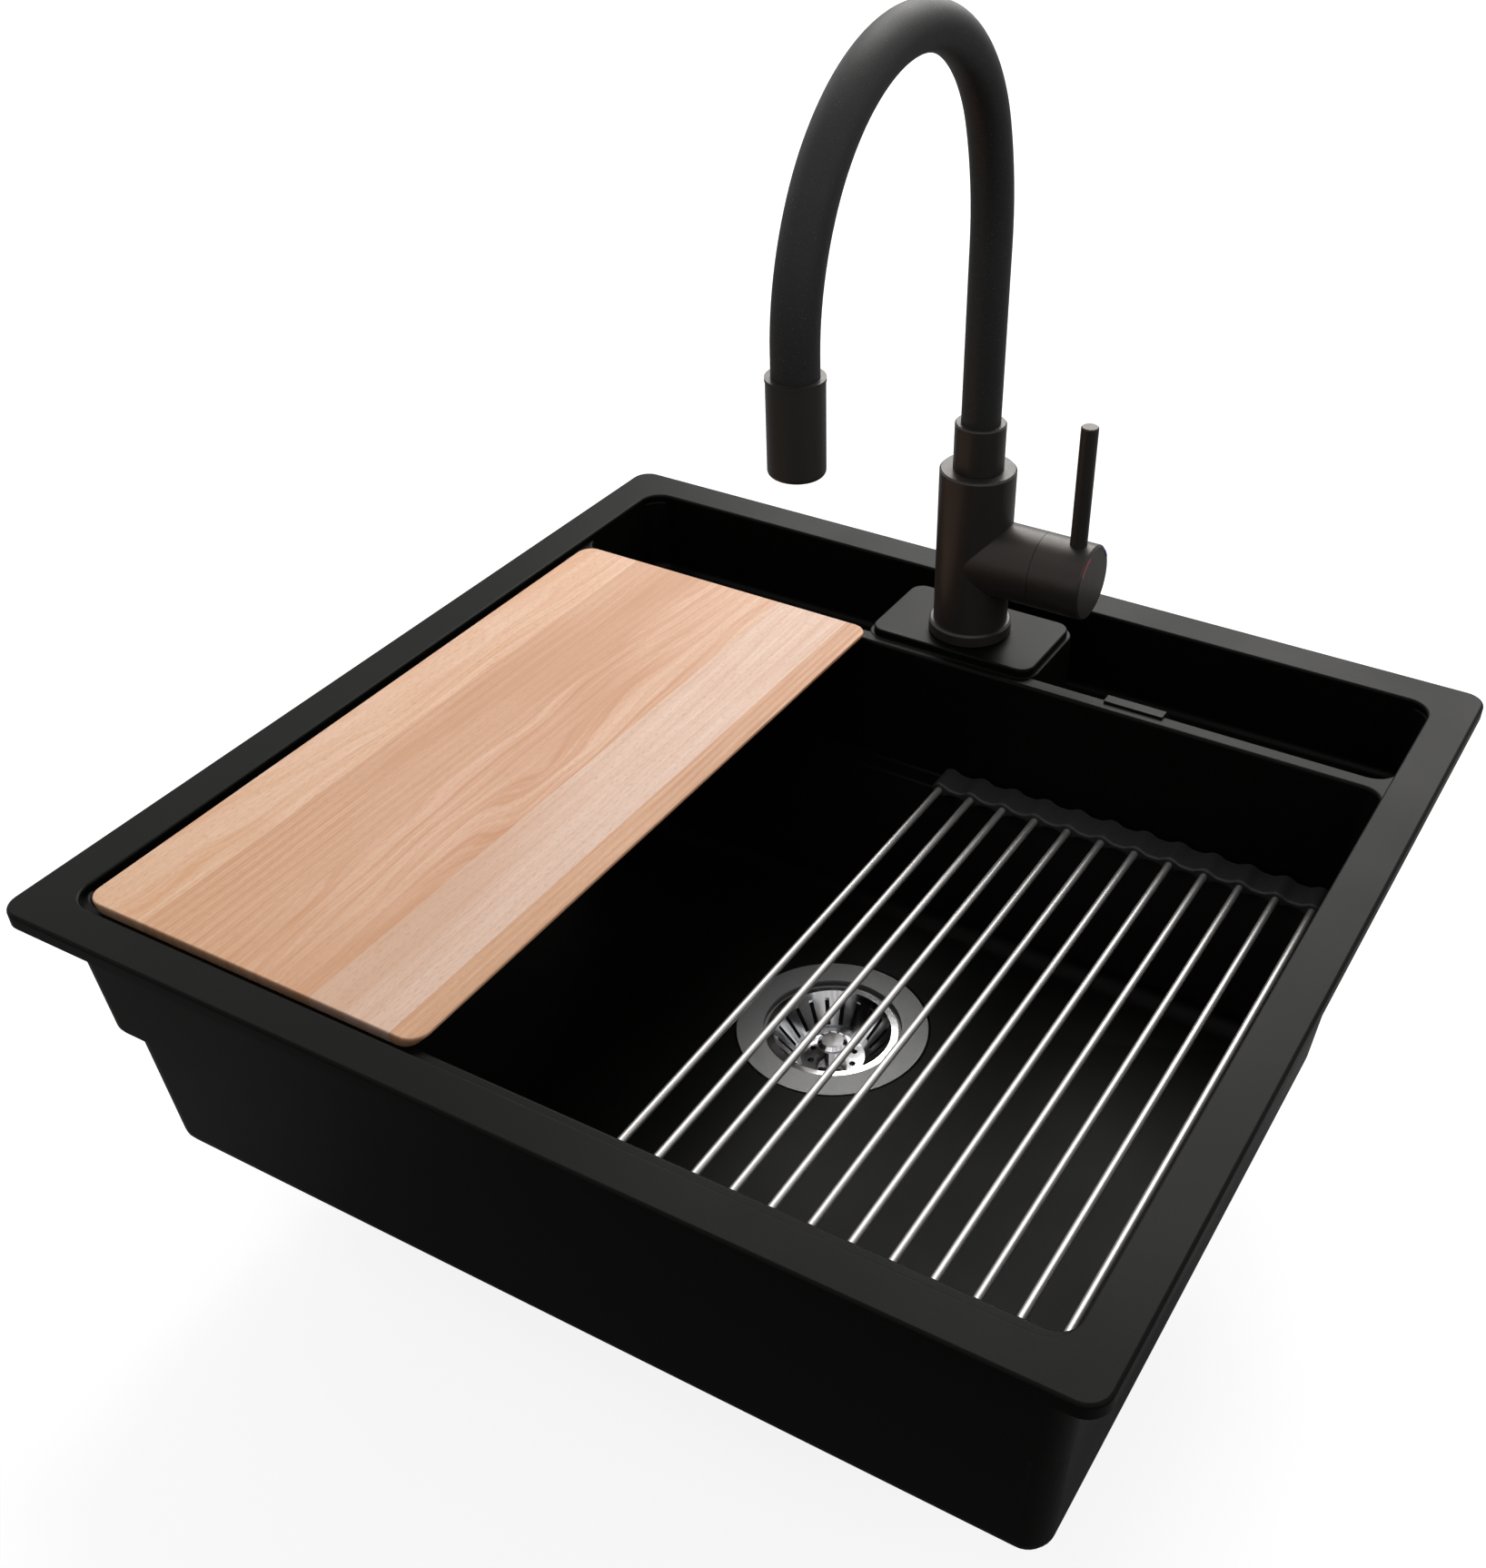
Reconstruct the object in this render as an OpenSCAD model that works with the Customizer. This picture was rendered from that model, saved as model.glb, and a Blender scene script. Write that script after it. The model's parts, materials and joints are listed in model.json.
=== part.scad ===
// Workstation kitchen sink: a moulded composite bowl with a sunk rear tray, a tap platform,
// a flexible-spout tap, a sliding board, a roll-up rod rack and a basket waste.
// X runs to the right, Y to the back, Z up. The origin is the centre of the rim, in the
// plane of its underside, where the sink hangs in a worktop. Depths count down from the rim's top.

/* [Rim] */
// Width of the rim, left to right
rim_w = 590; // [560:1:640]
// Depth of the rim, front to back
rim_d = 560; // [545:1:600]
// Thickness of the rim
rim_t = 9; // [7:0.5:12]
// Radius of the rim's outer corners
rim_corner_r = 12; // [8:1:24]
// Rounding of the rim's top edge
rim_edge_r = 2; // [1:0.5:3]
// Rim width at the left and right
rim_side_w = 25; // [20:1:32]
// Rim width at the back
rim_back_w = 25; // [20:1:32]
// Rim width at the front
rim_front_w = 22.5; // [20:0.5:28]
// Radius of the opening's corners
opening_r = 14; // [10:1:20]

/* [Bowl] */
// Wall thickness of the moulding
wall = 8.5; // [7:0.5:10]
// Depth of the upper ledges below the rim's top
ledge_drop = 4.5; // [3.5:0.5:6]
// Width of the front upper ledge
front_ledge_w = 7.5; // [6:0.5:10]
// Depth of the lower ledges that carry the rack
rack_ledge_drop = 81; // [70:1:90]
// Width of the lower ledges at the front and back
rack_ledge_w = 13.5; // [11:0.5:16]
// Width of the lower ledge at the left
left_ledge_w = 18; // [12:1:24]
// Depth of the bowl at the foot of its walls
bowl_depth = 158; // [145:1:175]
// Extra fall of the floor towards the drain
floor_fall = 3; // [2:0.5:5]
// Wall lean, inset per unit of depth
wall_lean = 0.045; // [0.03:0.005:0.06]
// Lean of the back wall above the lower ledge
back_lean = 0.085; // [0.06:0.005:0.1]
// Extra run of the back wall between the lower ledge and the floor
back_slope_run = 27; // [15:1:30]
// Fillet between the floor and the walls
floor_fillet = 12; // [8:1:12]
// Radius of the bowl's upright corners
bowl_corner_r = 12; // [12:1:18]
// Drain centre to the right of the rim's centre
drain_x = 19; // [0:1:40]
// Drain centre behind the rim's centre
drain_y = 0; // [-20:1:10]

/* [Rear tray] */
// Tray length, front to back
tray_l = 80.5; // [78:0.5:90]
// Tray depth below the rim's top
tray_depth = 52; // [46:1:60]
// Thickness of the divider's top
divider_t = 11; // [10:0.5:14]
// Fillet round the tray's floor
tray_fillet = 5; // [4:1:7]

/* [Tap platform] */
// Platform width
platform_w = 107; // [104:1:120]
// Platform length, front to back
platform_l = 63; // [62:1:66]
// Platform corner radius
platform_r = 9; // [8:1:16]
// Gap between the platform and the back wall
platform_gap = 21; // [19:0.5:22]
// Foot of the platform, proud of its top all round
platform_foot = 2.5; // [1.5:0.5:3]
// Thickness of the platform's top
platform_t = 9; // [8:0.5:12]
// Diameter of the tap hole
tap_hole_d = 35; // [34:0.5:36]

/* [Tap body] */
// Diameter of the tap's column
column_d = 44.7; // [40:0.1:46]
// Height of the column's top above the platform
column_h = 104; // [98:1:120]
// Diameter of the foot ring
foot_d = 50; // [48:0.5:54]
// Height of the foot ring with its gasket
foot_h = 8; // [6:0.5:10]
// Height of the valve axis above the platform
valve_h = 51; // [48:0.5:58]
// Diameter of the valve housing and the handle cap
valve_d = 44; // [42:0.5:46]
// Reach of the valve housing from the column's axis
housing_reach = 44; // [42:0.5:50]
// Length of the handle cap
cap_l = 31.7; // [28:0.1:36]
// Distance of the lever from the cap's inner end
lever_place = 21; // [16:0.1:23]
// Diameter of the lever
lever_d = 10; // [8:0.5:11]
// Height of the lever's end above the valve axis
lever_reach = 92; // [70:1:110]
// Diameter of the valve cartridge
cartridge_d = 35; // [34:0.5:36]

/* [Spout] */
// Diameter of the swivel sleeve
sleeve_d = 29.5; // [27:0.5:32]
// Height of the swivel sleeve above the column
sleeve_h = 27; // [20:1:34]
// Diameter of the flexible spout's cover
hose_d = 22.7; // [21:0.1:23]
// Straight rise of the spout above the sleeve
hose_rise = 97; // [60:1:130]
// Straight fall of the spout above the spray head
hose_fall = 10; // [4:1:20]
// Diameter of the spray head
head_d = 27.8; // [26:0.2:30]
// Length of the spray head
head_l = 45; // [40:1:75]

/* [Waste] */
// Diameter of the strainer flange
flange_d = 113; // [112:0.5:114]
// Diameter of the drain hole
drain_hole_d = 90; // [89:0.5:91]
// Depth of the strainer cup below the floor
cup_depth = 34; // [34:1:40]
// Diameter of the lift-out basket
basket_d = 78; // [72:1:80]
// Diameter of the waste outlet's thread
outlet_d = 47.8; // [47:0.1:48.5]
// Length of the waste outlet's thread
outlet_l = 22; // [16:1:30]

/* [Overflow] */
// Centre of the overflow cover to the right of the rim's centre
overflow_x = 120; // [90:1:200]
// Width of the overflow cover
overflow_w = 36; // [34:1:46]
// Diameter of the overflow spout
overflow_pipe_d = 16; // [14:0.5:16]

/* [Board] */
// Board width
board_w = 211; // [150:1:240]
// Board thickness
board_t = 15; // [12:0.5:20]
// Thickness of the board's lips
lip_t = 6; // [5:0.5:8]
// Rest of each lip on its ledge
lip_rest = 3.75; // [3:0.25:4.5]
// Radius of the board's corners
board_r = 10; // [6:1:16]
// Gap between the board and the left wall
board_gap = 8; // [4:1:30]

/* [Rack] */
// Number of rods
rod_count = 12; // [6:1:16]
// Spacing of the rods
rod_pitch = 21.35; // [18:0.05:24]
// Diameter of a rod
rod_d = 4.4; // [4:0.2:5]
// Diameter of a rod holder
holder_d = 10; // [9:0.5:12]
// Length of the end strips, front to back
strip_l = 19.5; // [17:0.5:24]
// Gap between the last rod's holder and the right wall
rack_gap = 11; // [6:1:16]

/* [Hidden] */
$fn = 64;
// Facets of a hull's round corners
hull_fn = 32;
// Overshoot of a cut past the face that it opens
over = 1;
// Least thickness of a disc inside a hull
leaf = 0.02;
// Clearances: fixed seat, sliding fit, running shaft, and seat between moving pieces
seat = 0.05;
slip = 0.5;
running = 0.08;
rest_gap = 0.2;

// Plan of the opening, the bowl and the tray
open_x = rim_w / 2 - rim_side_w;
open_back = rim_d / 2 - rim_back_w;
open_front = -rim_d / 2 + rim_front_w;
strip_back = open_back - tray_l;
strip_front = strip_back - divider_t;
bowl_front = open_front + front_ledge_w;
upper_h = rack_ledge_drop - ledge_drop;
lower_h = bowl_depth - rack_ledge_drop;
ledge_front = bowl_front + wall_lean * upper_h;
ledge_back = strip_front - back_lean * upper_h;
side_at_ledge = open_x - wall_lean * upper_h;
// Plans are [left, right, front, back]
upper_top = [-open_x, open_x, bowl_front, strip_front];
upper_foot = [-side_at_ledge, side_at_ledge, ledge_front, ledge_back];
lower_top = [-side_at_ledge + left_ledge_w, side_at_ledge,
    ledge_front + rack_ledge_w, ledge_back - rack_ledge_w];
lower_foot = [lower_top[0] + wall_lean * lower_h, lower_top[1] - wall_lean * lower_h,
    lower_top[2] + wall_lean * lower_h, lower_top[3] - back_slope_run - wall_lean * lower_h];
tray_top = [-open_x, open_x, strip_back, open_back];
// Lean of the tray's side and back walls, and of its front wall, over the tray's depth
tray_run = 3;
tray_front_run = 0.5;
tray_foot = [-open_x + tray_run, open_x - tray_run, strip_back + tray_front_run, open_back - tray_run];
// Outside of the moulding: draft of its walls, extra thickness at the front, and roundings
outer_flare = 0.5;
front_extra = 3;
front_draft = 4;
tray_draft = 2;
divider_inset = 4.5;
outer_r = 14;
ledge_round = 2;
outer_round = 6;
drain_pad = 6;
// Thickness of the platform's skirt round the room for the tap's nut
skirt_t = 6;

// Heights
deck = rim_t;
floor_z = deck - bowl_depth - floor_fall;
rack_z = deck - rack_ledge_drop;
bottom_z = deck - bowl_depth - wall;

// Tap
// Offset of the tap hole towards the front of the platform
tap_offset = 1.5;
tap_y = open_back - platform_gap - platform_l / 2 - tap_offset;
column_r = column_d / 2;
valve_r = valve_d / 2;
valve_z = deck + valve_h;
column_top = deck + column_h;
column_edge = 1;
foot_edge = 1.2;
foot_bore_r = tap_hole_d / 2 + 1;
gasket_t = 0.8;
shank_r = 15.9;
shank_bore_r = 13.5;
shank_below = 45;
shank_up = 8;
inlet_r = 4.6;
inlet_l = 12;
inlet_x = 6.5;
nut_r = 22;
nut_t = 12;
washer_t = 2;
rubber_t = 3;
// Valve
cartridge_r = cartridge_d / 2;
cartridge_x = 10;
cartridge_l = 26;
nut_bore_r = 13;
ring_x = cartridge_x + cartridge_l + 2 * seat;
cam_r = nut_bore_r - running;
cam_end = housing_reach - 1;
moving_gap = 0.3;
cap_x = housing_reach + moving_gap;
cap_wall = 3;
cap_end = cap_x + cap_l;
cap_floor = 6;
cap_bevel = 1.2;
boss_r = 8;
boss_in = 12;
boss_x = cap_x + boss_in;
spindle_r = 4;
lever_x = cap_x + lever_place;
lever_edge = 0.6;
screw_r = 2;
screw_in = 4.2;
screw_x = boss_x + screw_in;
screw_sunk = 0.8;
mark_out = valve_r - 1.3;
mark_in = mark_out - 1.1;
mark_t = 0.3;
mark_angle = 34;
// Turns of the two marks about the valve's axis, either side of the lever
hot_turn = 203;
cold_turn = 115;
// Swivel
spigot_r = 11.1;
spigot_l = 29;
swivel_bore_r = 13.8;
bush_l = 14;
ring_section_r = 1.2;
water_r = 6.5;
sleeve_r = sleeve_d / 2;
sleeve_edge = 0.8;
sleeve_foot = column_top + moving_gap;
// O-rings above the spigot's foot
ring_places = [4, 9];
sleeve_top = sleeve_foot + sleeve_h;
hose_r = hose_d / 2;
hose_grip = 18;
cover_bore_r = 8.3;
core_r = 8.2;
core_bore_r = 6.3;
inner_r = 6.2;
inner_bore_r = 4;
// Joint discs between the bends
joint_t = 0.3;
joint_lip = 0.02;
// Bends of the spout from the sleeve to the head, each [radius, angle]
rise_bend_r = 185;
back_bend_r = 90;
front_bend_r = 101;
fall_bend_r = 121;
bends = [[rise_bend_r, 20], [back_bend_r, 65], [front_bend_r, 65], [fall_bend_r, 30]];
// Head
head_r = head_d / 2;
head_y = tap_y - bends_run();
hose_end = sleeve_top + hose_rise + bends_climb();
collar_t = 1.6;
collar_lip = 0.3;
head_top = hose_end - hose_fall;
head_foot = head_top - collar_t - head_l;
head_round = 2.5;
head_grip = 14;
aerator_r = 11.3;
aerator_l = 12;
aerator_sunk = 1;
aerator_floor = 2;
aerator_wall = 1.5;
jet_r = 1.2;
// Rings of jets, each [radius, number]
jet_rings = [[4, 6], [8, 12]];

// Waste
flange_r = flange_d / 2;
hole_r = drain_hole_d / 2;
gasket_h = 1.5;
flange_t = 1.5;
recess_h = gasket_h + flange_t;
recess_gap = 1;
neck_r = hole_r - 1.5;
sheet = 1.5;
// Shoulder that the basket's lip rests on
lip_drop = 4;
mouth_r = basket_d / 2 + 2;
cup_bore_r = basket_d / 2 - 2;
cup_floor = floor_z - cup_depth;
under_floor = floor_z - wall;
waste_r = flange_r - 3;
waste_wall = 3;
waste_depth = 24;
waste_top = under_floor - gasket_h;
waste_rim_t = 4;
waste_cone_h = 8;
waste_bore_r = neck_r + 1.2;
rib_t = 4;
// Openings in the cup's floor
cup_hole_r = 12;
cup_hole_place = 25;
waste_floor = cup_floor - waste_depth;
outlet_r = outlet_d / 2;
outlet_bore_r = outlet_r - 3;
outlet_foot = waste_floor - outlet_l - waste_cone_h;
boss_h = 10;
screw_d = 6;
screw_head_r = 5.5;
screw_head_h = 3;
basket_r = basket_d / 2;
basket_wall = 0.9;
basket_lip = 1;
basket_h = 22;
basket_z = floor_z - lip_drop + rest_gap - basket_h + basket_lip;
basket_foot_r = 20;
basket_slots = 20;
slot_w = 2.6;
slot_in = 2.5;
basket_hole_r = 1.9;
basket_hole_place = 13.5;
knob_neck_r = 5;
knob_r = 9;
knob_h = 13;
seal_t = 2.4;
stem_r = 3;
stem_below = 1;

// Overflow
pipe_r = overflow_pipe_d / 2;
pipe_wall = 1.8;
pipe_flange_t = 1.6;
pipe_thread_r = pipe_r + 0.8;
pipe_end_l = 14;
pipe_flange_r = pipe_thread_r + 1.6;
cover_y = strip_back + tray_front_run + moving_gap;
overflow_y = strip_back + tray_front_run + tray_fillet + pipe_flange_r + slip;
overflow_wall = 1.6;
overflow_l = overflow_y + pipe_flange_r + slip + overflow_wall - cover_y;
overflow_slot = 2.4;
slot_pitch = 5;
slot_margin = 4;
cover_shoulder = 2;
cover_drop = 30;
// Lip by which the cover hangs on the divider
cover_lip_l = 4;
cover_lip_t = 1.4;
tray_under = deck - tray_depth - wall;
overflow_pipe_l = 34;
pipe_seat = 0.1;
overflow_gasket_w = 3.5;
overflow_gasket_t = 2;
overflow_nut_t = 6;

// Board and rack
board_x = -open_x + board_gap;
board_front = bowl_front - lip_rest;
board_back = strip_front + lip_rest;
board_z = deck - ledge_drop + rest_gap;
board_top = board_z + lip_t;
board_edge = 1.5;
holder_r = holder_d / 2;
rod_r = rod_d / 2;
rod_z = rack_z + holder_r + rest_gap;
rod_grip = 12;
web_t = 3;
last_rod = side_at_ledge - rack_gap - holder_r;
// Play of the rack and of the board's thick part between the front and back walls
rack_play = 1.5;
core_play = 1.5;
rear_strip_y = ledge_back - rack_play - strip_l;
front_strip_y = ledge_front + rack_play;

function sum(list, i = 0) = i < len(list) ? list[i] + sum(list, i + 1) : 0;
function turned(i) = i > 0 ? bends[i - 1][1] + turned(i - 1) : 0;
// Travel of the spout towards the front and upwards through its bends
function bend_run(i) = bends[i][0] * (cos(turned(i)) - cos(turned(i + 1)));
function bend_climb(i) = bends[i][0] * (sin(turned(i + 1)) - sin(turned(i)));
function bends_run() = sum([for (i = [0:len(bends) - 1]) bend_run(i)]);
function bends_climb() = sum([for (i = [0:len(bends) - 1]) bend_climb(i)]);
// A plan drawn in or out by the same amount on each side
function inset(plan, by) = [plan[0] + by, plan[1] - by, plan[2] + by, plan[3] - by];

// Four copies of a round corner piece, one in each corner of a plan
module corners(plan, r) {
    for (x = [plan[0] + r, plan[1] - r])
        for (y = [plan[2] + r, plan[3] - r])
            translate([x, y, 0]) children();
}

// An upright block with rounded corners
module rounded_block(plan, z0, z1, r) {
    translate([0, 0, z0]) linear_extrude(z1 - z0) {
        translate([plan[0] + r, plan[2]]) square([plan[1] - plan[0] - 2 * r, plan[3] - plan[2]]);
        translate([plan[0], plan[2] + r]) square([plan[1] - plan[0], plan[3] - plan[2] - 2 * r]);
        corners(plan, r) circle(r);
    }
}

// A leaning block with rounded upright corners and a rounded foot
module tub(top, foot, z_top, z_foot, r, fillet) {
    hull() {
        translate([0, 0, z_top - leaf]) corners(top, r) cylinder(r = r, h = leaf, $fn = hull_fn);
        for (a = [0, 30, 60, 90])
            translate([0, 0, z_foot + fillet * (1 - sin(a))])
                corners(foot, r) cylinder(r = max(leaf, r - fillet * (1 - cos(a))), h = leaf, $fn = hull_fn);
        children();
    }
}

module tube(r_out, r_in, z0, z1) {
    translate([0, 0, z0]) difference() {
        cylinder(r = r_out, h = z1 - z0);
        translate([0, 0, -over]) cylinder(r = r_in, h = z1 - z0 + 2 * over);
    }
}

module at_tap() { translate([0, tap_y, 0]) children(); }
module at_drain() { translate([drain_x, drain_y, 0]) children(); }
// Turns a piece drawn along Z so that it lies along the valve's axis, to the right
module along_valve(x) { translate([x, tap_y, valve_z]) rotate([0, 90, 0]) children(); }

// --- Sink ---
platform_plan = [-platform_w / 2, platform_w / 2,
    open_back - platform_gap - platform_l, open_back - platform_gap];
outer_x = open_x + wall + outer_flare;
outer_front = ledge_front - wall - front_extra;
outer_top = [-outer_x, outer_x, bowl_front - wall - front_extra - outer_flare, strip_back - divider_inset];
outer_upper_foot = [-side_at_ledge - wall, side_at_ledge + wall, outer_front, ledge_back + wall];
outer_lower_top = [lower_top[0] - wall, lower_top[1] + wall, outer_front, lower_top[3] + wall];
outer_lower_foot = [lower_foot[0] - wall, lower_foot[1] + wall,
    outer_front + front_draft, lower_foot[3] + wall];
outer_tray_top = [-outer_x, outer_x, ledge_back, open_back + wall + outer_flare];
outer_tray_foot = [-open_x - wall + tray_draft, open_x + wall - tray_draft,
    ledge_back, open_back + wall - tray_draft];

module sink_shell() {
    rim_plan = [-rim_w / 2, rim_w / 2, -rim_d / 2, rim_d / 2];
    hull() {
        for (a = [0, 30, 60, 90])
            translate([0, 0, rim_t - rim_edge_r * (1 - sin(a)) - leaf])
                corners(rim_plan, rim_corner_r)
                    cylinder(r = rim_corner_r - rim_edge_r * (1 - cos(a)), h = leaf, $fn = hull_fn);
        corners(rim_plan, rim_corner_r) cylinder(r = rim_corner_r, h = leaf, $fn = hull_fn);
    }
    tub(outer_top, outer_upper_foot, over, rack_z - wall, outer_r, outer_round);
    tub(outer_lower_top, outer_lower_foot, rack_z, bottom_z, outer_r, floor_fillet)
        translate([drain_x, drain_y, bottom_z - floor_fall])
            cylinder(r = waste_r + drain_pad, h = leaf, $fn = hull_fn);
    tub(outer_tray_top, outer_tray_foot, over, tray_under, outer_r, outer_round);
}

module sink_hollows() {
    rounded_block([-open_x, open_x, open_front, open_back], deck - ledge_drop, deck + over, opening_r);
    tub(upper_top, upper_foot, deck - ledge_drop + leaf, rack_z, bowl_corner_r, ledge_round);
    tub(lower_top, lower_foot, rack_z + leaf, deck - bowl_depth, bowl_corner_r, floor_fillet)
        translate([drain_x, drain_y, floor_z]) cylinder(r = flange_r + recess_gap, h = leaf, $fn = hull_fn);
    tub(tray_top, tray_foot, deck - ledge_drop + leaf, deck - tray_depth, opening_r, tray_fillet);
}

module sink_body() {
    foot_plan = inset(platform_plan, -platform_foot);
    hollow_plan = inset(platform_plan, skirt_t);
    color([0.09, 0.09, 0.085]) difference() {
        union() {
            difference() {
                sink_shell();
                sink_hollows();
            }
            rounded_block(foot_plan, tray_under, deck - ledge_drop, platform_r + platform_foot);
            rounded_block(platform_plan, deck - ledge_drop - over, deck, platform_r);
        }
        rounded_block(hollow_plan, tray_under - over, deck - platform_t, platform_r - skirt_t);
        at_tap() translate([0, 0, deck - platform_t - over])
            cylinder(d = tap_hole_d, h = platform_t + 2 * over);
        at_drain() translate([0, 0, floor_z - recess_h])
            cylinder(r = flange_r + recess_gap, h = recess_h + over);
        at_drain() translate([0, 0, bottom_z - floor_fall - over])
            cylinder(r = hole_r, h = wall + 2 * over);
        translate([overflow_x, overflow_y, tray_under - over])
            cylinder(r = pipe_thread_r + rest_gap, h = wall + 2 * over);
    }
}

// --- Tap body ---
module tap_base_gasket() {
    color("black") at_tap() tube(foot_d / 2 - 2, foot_bore_r, deck, deck + gasket_t);
}

module tap_foot_ring() {
    ring_z = deck + gasket_t;
    color([0.16, 0.15, 0.145]) at_tap() difference() {
        union() {
            translate([0, 0, ring_z]) cylinder(d = foot_d, h = foot_h - gasket_t - foot_edge);
            translate([0, 0, deck + foot_h - foot_edge])
                cylinder(d1 = foot_d, d2 = foot_d - 2 * foot_edge, h = foot_edge);
        }
        translate([0, 0, ring_z - over]) cylinder(r = shank_r + seat, h = foot_h + 2 * over);
    }
}

module tap_body() {
    base = deck + foot_h;
    color([0.16, 0.15, 0.145]) difference() {
        union() {
            at_tap() translate([0, 0, base]) cylinder(r = column_r, h = column_h - foot_h - column_edge);
            at_tap() translate([0, 0, column_top - column_edge])
                cylinder(r1 = column_r, r2 = column_r - column_edge, h = column_edge);
            along_valve(0) cylinder(r = valve_r, h = housing_reach);
        }
        along_valve(cartridge_x) cylinder(r = cartridge_r + seat, h = housing_reach);
        at_tap() translate([0, 0, column_top - spigot_l - over])
            cylinder(r = swivel_bore_r, h = spigot_l + 2 * over);
        at_tap() translate([0, 0, valve_z]) cylinder(r = water_r, h = column_top - valve_z);
        at_tap() translate([0, 0, base - over]) cylinder(r = shank_r + seat, h = shank_up + over);
        for (x = [-inlet_x, inlet_x])
            at_tap() translate([x, 0, base]) cylinder(r = inlet_r, h = shank_up + inlet_l);
    }
}

module tap_shank() {
    top = deck + foot_h + shank_up;
    color([0.62, 0.52, 0.3]) at_tap() tube(shank_r, shank_bore_r, deck - shank_below, top);
}

module fixing_rubber() {
    z = deck - platform_t - rubber_t;
    color("black") at_tap() tube(nut_r, shank_r + 1, z, z + rubber_t);
}

module fixing_washer() {
    z = deck - platform_t - rubber_t - washer_t;
    color([0.7, 0.7, 0.72]) at_tap() tube(nut_r, shank_r + 0.6, z, z + washer_t);
}

module fixing_nut() {
    z = deck - platform_t - rubber_t - washer_t - nut_t;
    color([0.62, 0.52, 0.3]) at_tap() difference() {
        translate([0, 0, z]) cylinder(r = nut_r, h = nut_t, $fn = 6);
        translate([0, 0, z - over]) cylinder(r = shank_r + seat, h = nut_t + 2 * over);
    }
}

// --- Valve and handle ---
module valve_cartridge() {
    color([0.75, 0.75, 0.78]) along_valve(cartridge_x + seat) cylinder(r = cartridge_r, h = cartridge_l);
}

module cartridge_nut() {
    color([0.62, 0.52, 0.3]) along_valve(ring_x) difference() {
        cylinder(r = cartridge_r, h = housing_reach - ring_x - moving_gap);
        translate([0, 0, -over]) cylinder(r = nut_bore_r, h = housing_reach);
    }
}

module cartridge_cam() {
    color([0.85, 0.85, 0.82]) along_valve(ring_x) cylinder(r = cam_r, h = cam_end - ring_x);
}

module handle_spindle() {
    start = cam_end + rest_gap;
    color([0.62, 0.52, 0.3]) along_valve(start) cylinder(r = spindle_r, h = cap_end - cap_floor - start);
}

module mark_sector(from, grow) {
    rotate([0, 0, from]) rotate_extrude(angle = mark_angle)
        translate([mark_in - grow, -mark_t - grow]) square([mark_out - mark_in + 2 * grow, 2 * mark_t]);
}

module at_cap_face() { along_valve(cap_end) children(); }

module handle_cap() {
    color([0.16, 0.15, 0.145]) difference() {
        union() {
            difference() {
                union() {
                    along_valve(cap_x) cylinder(r = valve_r, h = cap_l - cap_bevel);
                    along_valve(cap_end - cap_bevel)
                        cylinder(r1 = valve_r, r2 = valve_r - cap_bevel, h = cap_bevel);
                }
                along_valve(cap_x - over) cylinder(r = valve_r - cap_wall, h = cap_l - cap_floor + over);
            }
            along_valve(boss_x) cylinder(r = boss_r, h = cap_l - cap_floor - boss_in + over);
        }
        along_valve(cap_x - over) cylinder(r = spindle_r + seat, h = cap_l - cap_floor + over);
        translate([lever_x, tap_y, valve_z + spindle_r]) cylinder(d = lever_d + 2 * seat, h = valve_r);
        translate([screw_x, tap_y, valve_z - valve_r - over])
            cylinder(r = screw_r + seat, h = valve_r + over);
        at_cap_face() mark_sector(hot_turn, seat);
        at_cap_face() mark_sector(cold_turn, seat);
    }
}

module handle_screw() {
    color([0.3, 0.3, 0.3]) translate([screw_x, tap_y, valve_z - valve_r + screw_sunk])
        cylinder(r = screw_r, h = valve_r - spindle_r - screw_sunk - rest_gap);
}

module lever_rod() {
    foot = valve_z + spindle_r + 0.4;
    top = valve_z + lever_reach;
    color([0.16, 0.15, 0.145]) translate([lever_x, tap_y, foot]) {
        cylinder(d = lever_d, h = top - foot - lever_edge);
        translate([0, 0, top - foot - lever_edge])
            cylinder(d1 = lever_d, d2 = lever_d - 2 * lever_edge, h = lever_edge);
    }
}

module hot_mark() { color([0.8, 0.05, 0.08]) at_cap_face() mark_sector(hot_turn, 0); }
module cold_mark() { color([0.08, 0.2, 0.7]) at_cap_face() mark_sector(cold_turn, 0); }

// --- Swivel and spout ---
module swivel_bush() {
    color("white") at_tap()
        tube(swivel_bore_r - seat, spigot_r + running, column_top - bush_l, column_top - slip);
}

module swivel_o_rings() {
    color("black") at_tap() for (place = ring_places)
        translate([0, 0, column_top - spigot_l + place]) rotate_extrude()
            translate([(swivel_bore_r + spigot_r) / 2, 0]) circle(r = ring_section_r, $fn = 24);
}

module spout_sleeve() {
    spigot_foot = column_top - spigot_l;
    hose_foot = sleeve_top - hose_grip;
    color([0.16, 0.15, 0.145]) at_tap() difference() {
        union() {
            translate([0, 0, sleeve_foot]) cylinder(r = sleeve_r, h = sleeve_h - sleeve_edge);
            translate([0, 0, sleeve_top - sleeve_edge])
                cylinder(r1 = sleeve_r, r2 = sleeve_r - sleeve_edge, h = sleeve_edge);
            translate([0, 0, spigot_foot]) cylinder(r = spigot_r, h = sleeve_foot - spigot_foot + over);
        }
        translate([0, 0, hose_foot]) cylinder(r = hose_r + seat, h = hose_grip + over);
        translate([0, 0, spigot_foot - over]) cylinder(r = water_r, h = hose_foot - spigot_foot + 2 * over);
    }
}

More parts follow.
